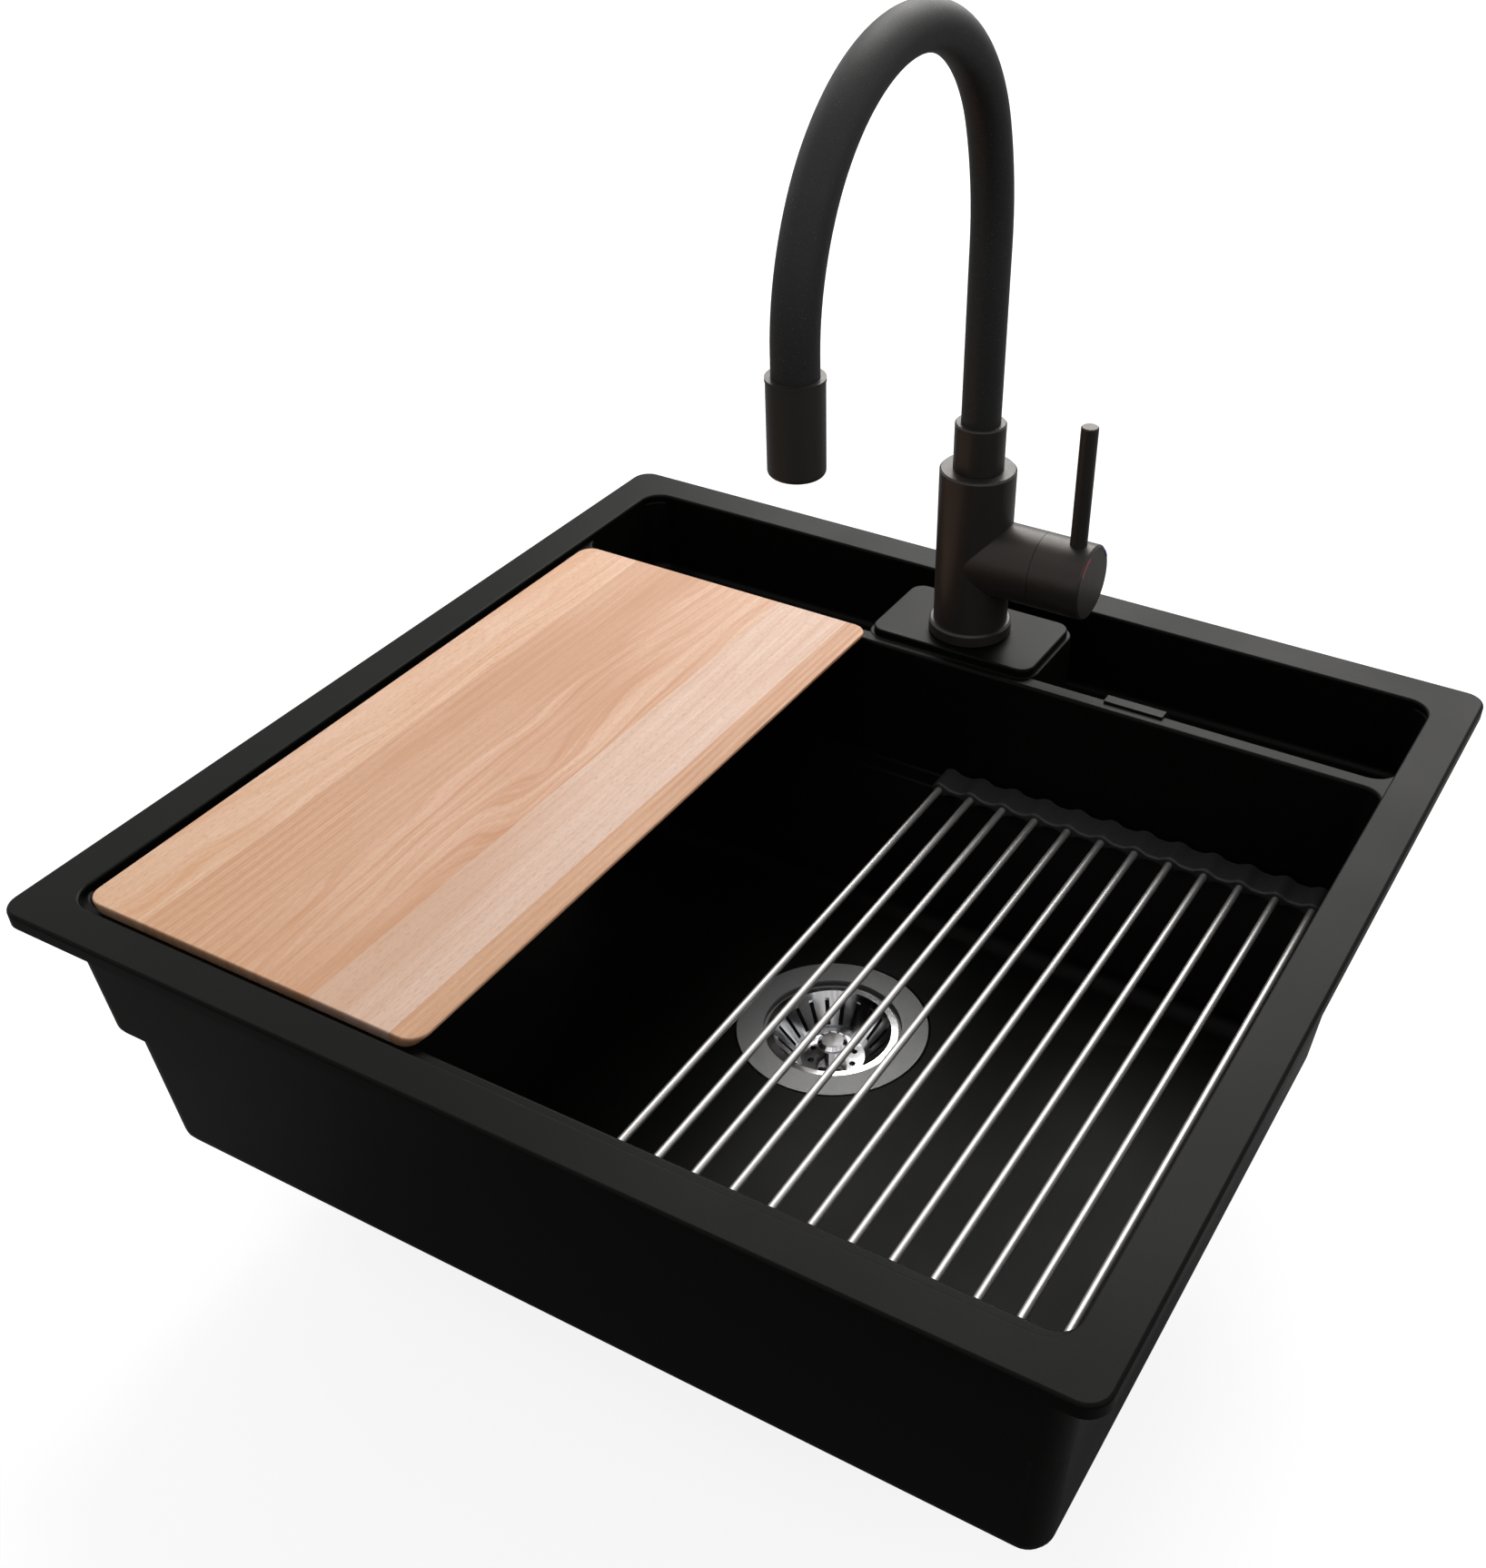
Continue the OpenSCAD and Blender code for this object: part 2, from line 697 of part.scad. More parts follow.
// A rod that follows the spout's bends, each starting where the last one ends,
// with a thin joint disc where two bends meet
module bent_rod(r, i) {
    translate([0, 0, -joint_t / 2]) cylinder(r = r + joint_lip, h = joint_t);
    if (i < len(bends)) {
        radius = bends[i][0];
        angle = bends[i][1];
        translate([0, -radius, 0]) {
            rotate([90, 0, 90]) rotate_extrude(angle = angle) translate([radius, 0]) circle(r);
            rotate([angle, 0, 0]) translate([0, radius, 0]) bent_rod(r, i + 1);
        }
    }
}

module spout_rod(r, past) {
    hose_foot = sleeve_top - hose_grip + seat - past;
    head_end = head_top - head_grip + seat - past;
    at_tap() translate([0, 0, hose_foot]) cylinder(r = r, h = sleeve_top + hose_rise - hose_foot);
    at_tap() translate([0, 0, sleeve_top + hose_rise]) bent_rod(r, 0);
    translate([0, head_y, head_end]) cylinder(r = r, h = hose_end - head_end);
}

module along_spout(r_out, r_in) {
    difference() {
        spout_rod(r_out, 0);
        spout_rod(r_in, over);
    }
}

module spout_cover() { color([0.13, 0.13, 0.13]) along_spout(hose_r, cover_bore_r); }
module spout_core() { color([0.6, 0.6, 0.62]) along_spout(core_r, core_bore_r); }
module inner_hose() { color([0.35, 0.35, 0.37]) along_spout(inner_r, inner_bore_r); }

// --- Spray head ---
module head_collar() {
    color([0.2, 0.19, 0.185]) translate([0, head_y, 0])
        tube(head_r + collar_lip, hose_r + seat, head_top - collar_t, head_top);
}

module head_shell() {
    top = head_top - collar_t;
    grip = head_grip - collar_t;
    color([0.16, 0.15, 0.145]) translate([0, head_y, head_foot]) difference() {
        rotate_extrude() {
            translate([0, head_round]) square([head_r, head_l - head_round]);
            square([head_r - head_round, head_round + over]);
            translate([head_r - head_round, head_round]) circle(head_round);
        }
        translate([0, 0, head_l - grip]) cylinder(r = hose_r + seat, h = grip + over);
        translate([0, 0, -over]) cylinder(r = aerator_r + seat, h = aerator_l + aerator_sunk + over);
        translate([0, 0, aerator_l]) cylinder(r = water_r, h = head_l - grip);
    }
}

module aerator() {
    color([0.55, 0.55, 0.57]) translate([0, head_y, head_foot + aerator_sunk]) difference() {
        cylinder(r = aerator_r, h = aerator_l);
        translate([0, 0, aerator_floor]) cylinder(r = aerator_r - aerator_wall, h = aerator_l);
        for (ring = jet_rings)
            for (k = [1:ring[1]])
                rotate([0, 0, 360 * k / ring[1]]) translate([ring[0], 0, -over])
                    cylinder(r = jet_r, h = aerator_floor + 2 * over, $fn = 16);
    }
}

// --- Waste ---
module flange_gasket() {
    z = floor_z - recess_h;
    color("black") at_drain() tube(flange_r - 1, hole_r + 1, z, z + gasket_h);
}

module strainer_flange() {
    flange_z = floor_z - flange_t;
    color([0.66, 0.66, 0.67]) at_drain() difference() {
        union() {
            translate([0, 0, flange_z]) cylinder(r = flange_r, h = flange_t);
            translate([0, 0, floor_z - lip_drop - sheet])
                cylinder(r = neck_r, h = lip_drop + sheet - flange_t);
            translate([0, 0, cup_floor]) cylinder(r = cup_bore_r + sheet, h = cup_depth - flange_t);
        }
        translate([0, 0, cup_floor + sheet]) cylinder(r = cup_bore_r, h = cup_depth);
        translate([0, 0, floor_z - lip_drop]) cylinder(r = mouth_r, h = lip_drop + over);
        for (k = [0:3]) rotate([0, 0, 45 + 90 * k]) translate([cup_hole_place, 0, cup_floor - over])
            cylinder(r = cup_hole_r, h = sheet + 2 * over);
        translate([0, 0, cup_floor - over]) cylinder(d = screw_d + 2 * rest_gap, h = sheet + 2 * over);
    }
}

module waste_gasket() {
    color("black") at_drain() tube(waste_r, hole_r + 1, waste_top, under_floor);
}

// Two crossed ribs that carry the screw's boss, from the waste's floor downwards and upwards
module ribs(z0, z1) {
    for (turn = [0, 90]) rotate([0, 0, turn])
        translate([-waste_bore_r - over, -rib_t / 2, z0])
            cube([2 * waste_bore_r + 2 * over, rib_t, z1 - z0]);
}

module waste_body() {
    outer = waste_bore_r + waste_wall;
    cone_foot = waste_floor - waste_cone_h;
    color([0.1, 0.1, 0.1]) at_drain() difference() {
        union() {
            translate([0, 0, waste_top - waste_rim_t]) cylinder(r = waste_r, h = waste_rim_t);
            translate([0, 0, waste_floor]) cylinder(r = outer, h = waste_top - waste_floor);
            translate([0, 0, cone_foot]) cylinder(r1 = outlet_r + rib_t, r2 = outer, h = waste_cone_h);
            translate([0, 0, outlet_foot]) cylinder(r = outlet_r, h = outlet_l + over);
        }
        difference() {
            translate([0, 0, waste_floor]) cylinder(r = waste_bore_r, h = waste_top - waste_floor + over);
            translate([0, 0, waste_floor]) cylinder(r = boss_r, h = boss_h);
            ribs(waste_floor, waste_floor + boss_h - 2);
        }
        difference() {
            translate([0, 0, outlet_foot - over])
                cylinder(r = outlet_bore_r, h = waste_floor - outlet_foot + 2 * over);
            translate([0, 0, cone_foot]) cylinder(r = boss_r, h = waste_cone_h + rib_t);
            ribs(waste_floor - rib_t, waste_floor + waste_cone_h);
        }
        translate([0, 0, waste_floor - over]) cylinder(d = screw_d + 2 * seat, h = boss_h + 2 * over);
    }
}

module waste_screw() {
    head_z = cup_floor + sheet;
    color([0.7, 0.7, 0.72]) at_drain() {
        translate([0, 0, waste_floor]) cylinder(d = screw_d, h = head_z - waste_floor + leaf);
        translate([0, 0, head_z]) cylinder(r = screw_head_r, h = screw_head_h);
    }
}

module basket() {
    side_r = cup_bore_r - 1.5;
    side_wall = 0.6;
    color([0.75, 0.75, 0.77]) at_drain() difference() {
        translate([0, 0, basket_z]) rotate_extrude() polygon([
            [stem_r + seat, 0], [basket_foot_r, 0], [side_r, basket_h - basket_lip],
            [basket_r, basket_h - basket_lip], [basket_r, basket_h], [side_r - side_wall, basket_h],
            [basket_foot_r - side_wall, basket_wall], [stem_r + seat, basket_wall]]);
        for (k = [1:basket_slots]) rotate([0, 0, 360 * k / basket_slots])
            translate([basket_foot_r + slot_in, -slot_w / 2, basket_z - over])
                cube([side_r - basket_foot_r - 2 * slot_in - side_wall, slot_w, basket_h - 2 * over]);
        for (k = [1:8]) rotate([0, 0, 45 * k]) translate([basket_hole_place, 0, basket_z - over])
            cylinder(r = basket_hole_r, h = basket_wall + 2 * over, $fn = 16);
    }
}

module basket_seal() {
    color("black") at_drain()
        tube(basket_foot_r - 7, stem_r + seat, basket_z - seal_t - seat, basket_z - seat);
}

module basket_knob() {
    top = basket_z + basket_wall;
    color([0.75, 0.75, 0.77]) at_drain() {
        translate([0, 0, basket_z - seal_t - stem_below])
            cylinder(r = stem_r, h = seal_t + stem_below + basket_wall + 4);
        translate([0, 0, top + seat]) cylinder(r = knob_neck_r, h = knob_h - 5);
        translate([0, 0, top + knob_h - 6]) cylinder(r1 = knob_neck_r, r2 = knob_r, h = 3);
        translate([0, 0, top + knob_h - 3]) cylinder(r = knob_r, h = 1.6);
        translate([0, 0, top + knob_h - 1.4]) cylinder(r1 = knob_r, r2 = knob_r - 2.4, h = 1.4);
    }
}

// --- Overflow ---
module overflow_cover() {
    x0 = overflow_x - overflow_w / 2;
    z0 = deck - tray_depth + rest_gap;
    end_y = cover_y + overflow_l;
    strip_z = deck - ledge_drop;
    top = strip_z + cover_lip_t;
    inside = overflow_wall;
    color([0.2, 0.2, 0.2]) difference() {
        translate([x0, 0, 0]) rotate([90, 0, 90]) linear_extrude(overflow_w) polygon([
            [cover_y, z0 + tray_fillet], [cover_y + tray_fillet + over, z0], [end_y, z0],
            [end_y, top - cover_drop], [cover_y + cover_shoulder, top], [strip_back - cover_lip_l, top],
            [strip_back - cover_lip_l, strip_z + seat], [cover_y, strip_z + seat]]);
        translate([x0 + inside, 0, 0]) rotate([90, 0, 90]) linear_extrude(overflow_w - 2 * inside) polygon([
            [cover_y - over, z0 - over], [end_y - inside, z0 - over],
            [end_y - inside, top - cover_drop - inside], [cover_y + cover_shoulder, strip_z - 2 * inside],
            [cover_y - over, strip_z - 2 * inside]]);
        for (x = [x0 + slot_pitch : slot_pitch : x0 + overflow_w - slot_pitch])
            translate([x - overflow_slot / 2, end_y - inside - over, z0 + slot_margin])
                cube([overflow_slot, inside + 2 * over, top - cover_drop - z0 - 2 * slot_margin]);
    }
}

module overflow_pipe() {
    tray_floor = deck - tray_depth;
    foot = tray_floor + pipe_flange_t - overflow_pipe_l;
    color([0.12, 0.12, 0.12]) translate([overflow_x, overflow_y, 0]) difference() {
        union() {
            translate([0, 0, tray_floor + pipe_seat])
                cylinder(r = pipe_flange_r, h = pipe_flange_t - pipe_seat);
            translate([0, 0, foot]) cylinder(r = pipe_r, h = overflow_pipe_l);
            translate([0, 0, foot + pipe_end_l])
                cylinder(r = pipe_thread_r, h = overflow_pipe_l - pipe_end_l);
        }
        translate([0, 0, foot - over]) cylinder(r = pipe_r - pipe_wall, h = overflow_pipe_l + 2 * over);
    }
}

module overflow_gasket() {
    inner = pipe_thread_r + pipe_seat;
    color("black") translate([overflow_x, overflow_y, 0])
        tube(inner + overflow_gasket_w, inner, tray_under - overflow_gasket_t, tray_under);
}

module overflow_nut() {
    foot = tray_under - overflow_gasket_t - overflow_nut_t;
    color([0.15, 0.15, 0.15]) translate([overflow_x, overflow_y, foot]) difference() {
        cylinder(r = pipe_thread_r + 5, h = overflow_nut_t, $fn = 6);
        translate([0, 0, -over]) cylinder(r = pipe_thread_r + seat, h = overflow_nut_t + 2 * over);
    }
}

// --- Board ---
module cutting_board() {
    plan = [board_x, board_x + board_w, board_front, board_back];
    foot = board_top - board_t;
    under = board_t - board_edge;
    color([0.82, 0.62, 0.46]) difference() {
        intersection() {
            rounded_block(plan, foot, board_top, board_r);
            translate([0, plan[3] + over, 0]) rotate([90, 0, 0])
                linear_extrude(plan[3] - plan[2] + 2 * over) polygon([
                    [plan[0], board_top], [plan[0], board_top - board_edge], [plan[0] + under, foot],
                    [plan[1] - under, foot], [plan[1], board_top - board_edge], [plan[1], board_top]]);
        }
        translate([plan[0] - over, plan[2] - over, foot - over])
            cube([board_w + 2 * over, lip_rest + core_play + over, board_t - lip_t + over]);
        translate([plan[0] - over, plan[3] - lip_rest - core_play, foot - over])
            cube([board_w + 2 * over, lip_rest + core_play + over, board_t - lip_t + over]);
    }
}

// --- Rack ---
// One copy at each rod's place, counted from the right
module each_rod() {
    for (k = [0:rod_count - 1]) translate([last_rod - k * rod_pitch, 0, rod_z]) children();
}

// A bar along Y, drawn from its front end
module y_bar(r, l) { rotate([-90, 0, 0]) cylinder(r = r, h = l, $fn = 32); }

module rack_rods() {
    start = front_strip_y + strip_l - rod_grip;
    length = rear_strip_y + rod_grip - start;
    color([0.75, 0.75, 0.76]) each_rod() translate([0, start, 0]) y_bar(rod_r, length);
}

module rack_strip(y, hole_y) {
    span = (rod_count - 1) * rod_pitch;
    color([0.2, 0.2, 0.21]) difference() {
        union() {
            translate([last_rod - span, y, rod_z - web_t / 2]) cube([span, strip_l, web_t]);
            each_rod() translate([0, y, 0]) y_bar(holder_r, strip_l);
        }
        each_rod() translate([0, hole_y, 0]) y_bar(rod_r + seat, rod_grip + 1);
    }
}

module rack_rear_strip() { rack_strip(rear_strip_y, rear_strip_y - 0.5); }
module rack_front_strip() { rack_strip(front_strip_y, front_strip_y + strip_l - rod_grip - 0.5); }

sink_body();
tap_base_gasket();
tap_foot_ring();
tap_body();
tap_shank();
fixing_rubber();
fixing_washer();
fixing_nut();
valve_cartridge();
cartridge_nut();
cartridge_cam();
handle_spindle();
handle_cap();
handle_screw();
lever_rod();
hot_mark();
cold_mark();
swivel_bush();
swivel_o_rings();
spout_sleeve();
spout_cover();
spout_core();
inner_hose();
head_collar();
head_shell();
aerator();
flange_gasket();
strainer_flange();
waste_gasket();
waste_body();
waste_screw();
basket();
basket_seal();
basket_knob();
overflow_cover();
overflow_pipe();
overflow_gasket();
overflow_nut();
cutting_board();
rack_rods();
rack_rear_strip();
rack_front_strip();
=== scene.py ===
# %% [markdown]
# # Dressing a workstation kitchen sink
# The sink is a moulded black bowl with a sunk rear tray, a tap with a bendable spout, a sliding
# beech board, a rack of steel rods and a basket strainer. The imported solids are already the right
# size, so this lesson gives them finishes, and remakes the pieces whose soft edges show.
# Everything is in metres: X to the right, Y to the back, Z up from the underside of the rim.

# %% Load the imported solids
import json
import math

import bmesh
import bpy
from mathutils import Matrix, Vector


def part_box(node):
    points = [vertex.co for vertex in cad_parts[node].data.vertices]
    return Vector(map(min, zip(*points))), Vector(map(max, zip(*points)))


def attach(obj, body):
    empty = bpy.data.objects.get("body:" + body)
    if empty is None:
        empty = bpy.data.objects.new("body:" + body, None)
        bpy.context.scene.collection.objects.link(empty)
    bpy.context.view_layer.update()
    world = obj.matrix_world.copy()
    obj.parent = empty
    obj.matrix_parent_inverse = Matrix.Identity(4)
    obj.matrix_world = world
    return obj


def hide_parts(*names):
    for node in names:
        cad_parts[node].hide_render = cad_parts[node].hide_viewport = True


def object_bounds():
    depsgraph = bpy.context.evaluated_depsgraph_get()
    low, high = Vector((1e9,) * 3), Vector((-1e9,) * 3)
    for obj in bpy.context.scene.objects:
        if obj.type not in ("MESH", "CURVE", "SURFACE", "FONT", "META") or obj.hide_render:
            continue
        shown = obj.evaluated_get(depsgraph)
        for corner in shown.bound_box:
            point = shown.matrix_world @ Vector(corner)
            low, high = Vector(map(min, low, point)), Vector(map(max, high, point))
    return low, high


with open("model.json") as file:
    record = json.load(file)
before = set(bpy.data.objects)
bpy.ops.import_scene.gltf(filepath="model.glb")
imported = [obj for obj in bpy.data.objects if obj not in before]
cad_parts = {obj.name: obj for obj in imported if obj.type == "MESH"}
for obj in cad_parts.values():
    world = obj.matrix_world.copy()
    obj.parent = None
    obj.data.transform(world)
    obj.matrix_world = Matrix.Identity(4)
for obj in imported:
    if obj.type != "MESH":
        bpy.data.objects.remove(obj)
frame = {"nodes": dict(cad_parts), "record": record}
nodes = frame["nodes"]
solids_box = [list(corner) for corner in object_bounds()]
MM = 0.001
print("packed solids:", len(nodes), "size in mm:", [round((b - a) / MM) for a, b in zip(*solids_box)])

# %% [markdown]
# ## The camera
# The photograph is taken from above the front right corner. Its place and lens were worked out
# from the rim's corners and from uprights that lean apart. The photograph is a crop, so the lens
# is shifted a little instead of turning the camera, which keeps the uprights as they are.

# %% Camera
PHOTO_W, PHOTO_H = 1636, 1726
AZIMUTH, ELEVATION, ROLL = math.radians(29.48), math.radians(40.69), math.radians(0.22)
CAMERA_PLACE = (0.3965, -0.65431, 0.55766)
# The focal length and the point straight ahead, in pixels of the photograph
FOCAL_PX = 1932.1
CENTRE_X, CENTRE_Y = 929.25, 1044.84
SENSOR_MM = 36.0
FARTHEST = 50

backward = Vector((math.sin(AZIMUTH) * math.cos(ELEVATION), -math.cos(AZIMUTH) * math.cos(ELEVATION),
                   math.sin(ELEVATION)))
level = Vector((math.cos(AZIMUTH), math.sin(AZIMUTH), 0))
upward = backward.cross(level)
side = level * math.cos(ROLL) + upward * math.sin(ROLL)
top = upward * math.cos(ROLL) - level * math.sin(ROLL)

camera_data = bpy.data.cameras.new("photo_camera")
camera_data.sensor_width = SENSOR_MM
camera_data.lens = FOCAL_PX * SENSOR_MM / PHOTO_H
camera_data.shift_x = (PHOTO_W / 2 - CENTRE_X) / PHOTO_H
camera_data.shift_y = (CENTRE_Y - PHOTO_H / 2) / PHOTO_H
camera_data.clip_end = FARTHEST
camera = bpy.data.objects.new("photo_camera", camera_data)
turned = Matrix((side, top, backward)).transposed().to_4x4()
camera.matrix_world = Matrix.Translation(CAMERA_PLACE) @ turned
bpy.context.scene.collection.objects.link(camera)
bpy.context.scene.camera = camera
bpy.context.scene.view_settings.view_transform = "Standard"
print("lens in mm:", round(camera_data.lens, 1))

# %% [markdown]
# ## Light and background
# A black object shows mostly what it mirrors. A studio would hang one large soft lamp high
# behind it, where the level faces mirror the lamp into the camera, so the rim turns grey while
# the bowl stays black. Three weak lamps lift the sides. The world is white only for rays that
# come from the camera, from gloss and from glass, and lights the object weakly.

# %% World and lamps
WORLD_TINT, WORLD_STRENGTH = (0.95, 0.97, 1.0, 1), 0.17
world = bpy.data.worlds.new("studio")
bpy.context.scene.world = world
world.use_nodes = True
world_nodes, world_links = world.node_tree.nodes, world.node_tree.links
world_nodes.clear()
path = world_nodes.new("ShaderNodeLightPath")
lit = world_nodes.new("ShaderNodeBackground")
lit.inputs["Color"].default_value = WORLD_TINT
lit.inputs["Strength"].default_value = WORLD_STRENGTH
seen = world_nodes.new("ShaderNodeBackground")
seen.inputs["Color"].default_value = (1, 1, 1, 1)
seen.inputs["Strength"].default_value = 1.0
seen_by = path.outputs["Is Camera Ray"]
for kind in ("Is Glossy Ray", "Is Transmission Ray"):
    either = world_nodes.new("ShaderNodeMath")
    either.operation = "MAXIMUM"
    world_links.new(seen_by, either.inputs[0])
    world_links.new(path.outputs[kind], either.inputs[1])
    seen_by = either.outputs[0]
world_mix = world_nodes.new("ShaderNodeMixShader")
world_links.new(seen_by, world_mix.inputs["Fac"])
world_links.new(lit.outputs[0], world_mix.inputs[1])
world_links.new(seen.outputs[0], world_mix.inputs[2])
world_out = world_nodes.new("ShaderNodeOutputWorld")
world_links.new(world_mix.outputs[0], world_out.inputs["Surface"])


def soft_lamp(name, place, width, height, watts, colour=(1, 1, 1)):
    """A rectangular lamp that looks from its place towards the rim's centre."""
    data = bpy.data.lights.new(name, "AREA")
    data.shape = "RECTANGLE"
    data.size, data.size_y = width, height
    data.energy = watts
    data.color = colour
    lamp = bpy.data.objects.new(name, data)
    lamp.location = place
    lamp.rotation_euler = (-Vector(place)).to_track_quat("-Z", "Y").to_euler()
    bpy.context.scene.collection.objects.link(lamp)
    print("lamp", name, "watts", watts)


soft_lamp("high_back", (-0.5, 2.1, 1.9), 2.0, 2.3, 108, (1.0, 0.99, 0.97))
soft_lamp("back_left", (-2.3, 0.95, 1.75), 1.7, 1.5, 7)
soft_lamp("right_fill", (1.9, -0.4, 1.2), 1.0, 1.0, 4)
soft_lamp("front_top", (0.3, -1.2, 2.2), 1.2, 1.2, 4)

# %% [markdown]
# ## The floor
# The floor lies just under the waste outlet and takes the sink's soft shadow. On top of its matt
# grey it glows for rays from the camera and from glass, so that it looks white and joins the
# background. For gloss the glow is weak, because a bright floor would turn the black walls grey.

# %% Floor
FLOOR_GAP, FLOOR_HALF = 0.0005, 20
FLOOR_GREY = 0.28
FLOOR_GLOW = (("Is Camera Ray", 0.87), ("Is Glossy Ray", 0.045), ("Is Transmission Ray", 0.87))
floor_z = solids_box[0][2] - FLOOR_GAP
floor_mesh = bpy.data.meshes.new("floor")
floor_bm = bmesh.new()
bmesh.ops.create_grid(floor_bm, x_segments=1, y_segments=1, size=FLOOR_HALF)
bmesh.ops.translate(floor_bm, verts=floor_bm.verts, vec=(0, 0, floor_z))
floor_bm.to_mesh(floor_mesh)
floor_bm.free()
floor = bpy.data.objects.new("floor", floor_mesh)
bpy.context.scene.collection.objects.link(floor)

floor_material = bpy.data.materials.new("pale_floor")
floor_material.use_nodes = True
floor_nodes, floor_links = floor_material.node_tree.nodes, floor_material.node_tree.links
floor_nodes.clear()
floor_path = floor_nodes.new("ShaderNodeLightPath")
floor_matt = floor_nodes.new("ShaderNodeBsdfDiffuse")
floor_matt.inputs["Color"].default_value = (FLOOR_GREY, FLOOR_GREY, FLOOR_GREY, 1)
floor_glow = floor_nodes.new("ShaderNodeEmission")
glow_parts = []
for kind, share in FLOOR_GLOW:
    part = floor_nodes.new("ShaderNodeMath")
    part.operation = "MULTIPLY"
    part.inputs[1].default_value = share
    floor_links.new(floor_path.outputs[kind], part.inputs[0])
    glow_parts.append(part.outputs[0])
while len(glow_parts) > 1:
    larger = floor_nodes.new("ShaderNodeMath")
    larger.operation = "MAXIMUM"
    floor_links.new(glow_parts.pop(), larger.inputs[0])
    floor_links.new(glow_parts.pop(), larger.inputs[1])
    glow_parts.append(larger.outputs[0])
floor_links.new(glow_parts[0], floor_glow.inputs["Strength"])
floor_add = floor_nodes.new("ShaderNodeAddShader")
floor_links.new(floor_glow.outputs[0], floor_add.inputs[0])
floor_links.new(floor_matt.outputs[0], floor_add.inputs[1])
floor_out = floor_nodes.new("ShaderNodeOutputMaterial")
floor_links.new(floor_add.outputs[0], floor_out.inputs["Surface"])
floor_mesh.materials.append(floor_material)
print("floor at z in mm:", round(floor_z / MM, 1))

# %% [markdown]
# ## Building blocks for materials
# Several finishes share an effect: the fine grain of a moulding, the lines of a drawn rod, the
# figure of wood. Each effect is one node group that gives masks and heights from the object's own
# coordinates. The shader stays in each material, where plain values sit on its own sockets.

# %% Helpers for node groups and materials


def new_group(name, inputs, outputs):
    """A shader node group with named float or vector inputs and float outputs."""
    group = bpy.data.node_groups.new(name, "ShaderNodeTree")
    for label, value in inputs:
        kind = "NodeSocketVector" if value is None else "NodeSocketFloat"
        socket = group.interface.new_socket(label, in_out="INPUT", socket_type=kind)
        if value is not None:
            socket.default_value = value
    for label in outputs:
        group.interface.new_socket(label, in_out="OUTPUT", socket_type="NodeSocketFloat")
    return group, group.nodes.new("NodeGroupInput"), group.nodes.new("NodeGroupOutput")


def math_node(tree, operation, first, second=0.0):
    """A Math node whose two inputs are sockets or numbers."""
    node = tree.nodes.new("ShaderNodeMath")
    node.operation = operation
    for place, value in enumerate((first, second)):
        if isinstance(value, (int, float)):
            node.inputs[place].default_value = value
        else:
            tree.links.new(value, node.inputs[place])
    return node.outputs[0]


def noise_node(tree, vector, scale, detail, roughness):
    """A Noise texture on a vector; the scale is a number or a socket."""
    node = tree.nodes.new("ShaderNodeTexNoise")
    tree.links.new(vector, node.inputs["Vector"])
    if isinstance(scale, (int, float)):
        node.inputs["Scale"].default_value = scale
    else:
        tree.links.new(scale, node.inputs["Scale"])
    node.inputs["Detail"].default_value = detail
    node.inputs["Roughness"].default_value = roughness
    return node.outputs["Fac"]


def stretched(tree, vector, scale, place=(0, 0, 0)):
    """A Mapping node that stretches a pattern along an axis."""
    node = tree.nodes.new("ShaderNodeMapping")
    tree.links.new(vector, node.inputs["Vector"])
    node.inputs["Scale"].default_value = scale
    node.inputs["Location"].default_value = place
    return node.outputs["Vector"]


def range_node(tree, value, low, high, to_low=0.0, to_high=1.0):
    """A Map Range node from low..high to to_low..to_high, held at both ends."""
    node = tree.nodes.new("ShaderNodeMapRange")
    tree.links.new(value, node.inputs["Value"])
    for label, number in zip(("From Min", "From Max", "To Min", "To Max"), (low, high, to_low, to_high)):
        node.inputs[label].default_value = number
    return node.outputs["Result"]


def mix_colour(tree, mask, first, second):
    """A colour between two others, each a socket or three linear numbers."""
    node = tree.nodes.new("ShaderNodeMix")
    node.data_type = "RGBA"
    tree.links.new(mask, node.inputs["Factor"])
    for label, value in (("A", first), ("B", second)):
        socket = [s for s in node.inputs if s.name == label and s.type == "RGBA"][0]
        if isinstance(value, tuple):
            socket.default_value = (*value, 1)
        else:
            tree.links.new(value, socket)
    return [s for s in node.outputs if s.type == "RGBA"][0]


def bump_node(tree, height, distance):
    """A Bump node at full strength; the distance is the height's real depth in metres."""
    node = tree.nodes.new("ShaderNodeBump")
    node.inputs["Strength"].default_value = 1.0
    node.inputs["Distance"].default_value = distance
    tree.links.new(height, node.inputs["Height"])
    return node.outputs["Normal"]


def new_material(name, **plain):
    """A material with a Principled shader, its plain values, and the object's own coordinates."""
    material = bpy.data.materials.new(name)
    material.use_nodes = True
    tree = material.node_tree
    shader = tree.nodes["Principled BSDF"]
    for label, value in plain.items():
        shader.inputs[label.replace("_", " ")].default_value = value
    coordinates = tree.nodes.new("ShaderNodeTexCoord").outputs["Object"]
    return material, tree, shader, coordinates


def use_group(tree, group, vector, **values):
    """Places a node group on the coordinates with this finish's own values, numbers or sockets."""
    node = tree.nodes.new("ShaderNodeGroup")
    node.node_tree = group
    tree.links.new(vector, node.inputs["Coordinates"])
    for label, value in values.items():
        socket = node.inputs[label.replace("_", " ")]
        if isinstance(value, (int, float)):
            socket.default_value = value
        else:
            tree.links.new(value, socket)
    return node.outputs


print("material helpers ready")

# %% [markdown]
# ## Shared effects
# A moulding's skin is a fine pebble with slow cloudy changes of gloss. Drawn and turned metal has
# lines along or around it. Both could be painted as images, but noise needs no image and has no
# seam: the first is even in all directions, the second is stretched along the lines.

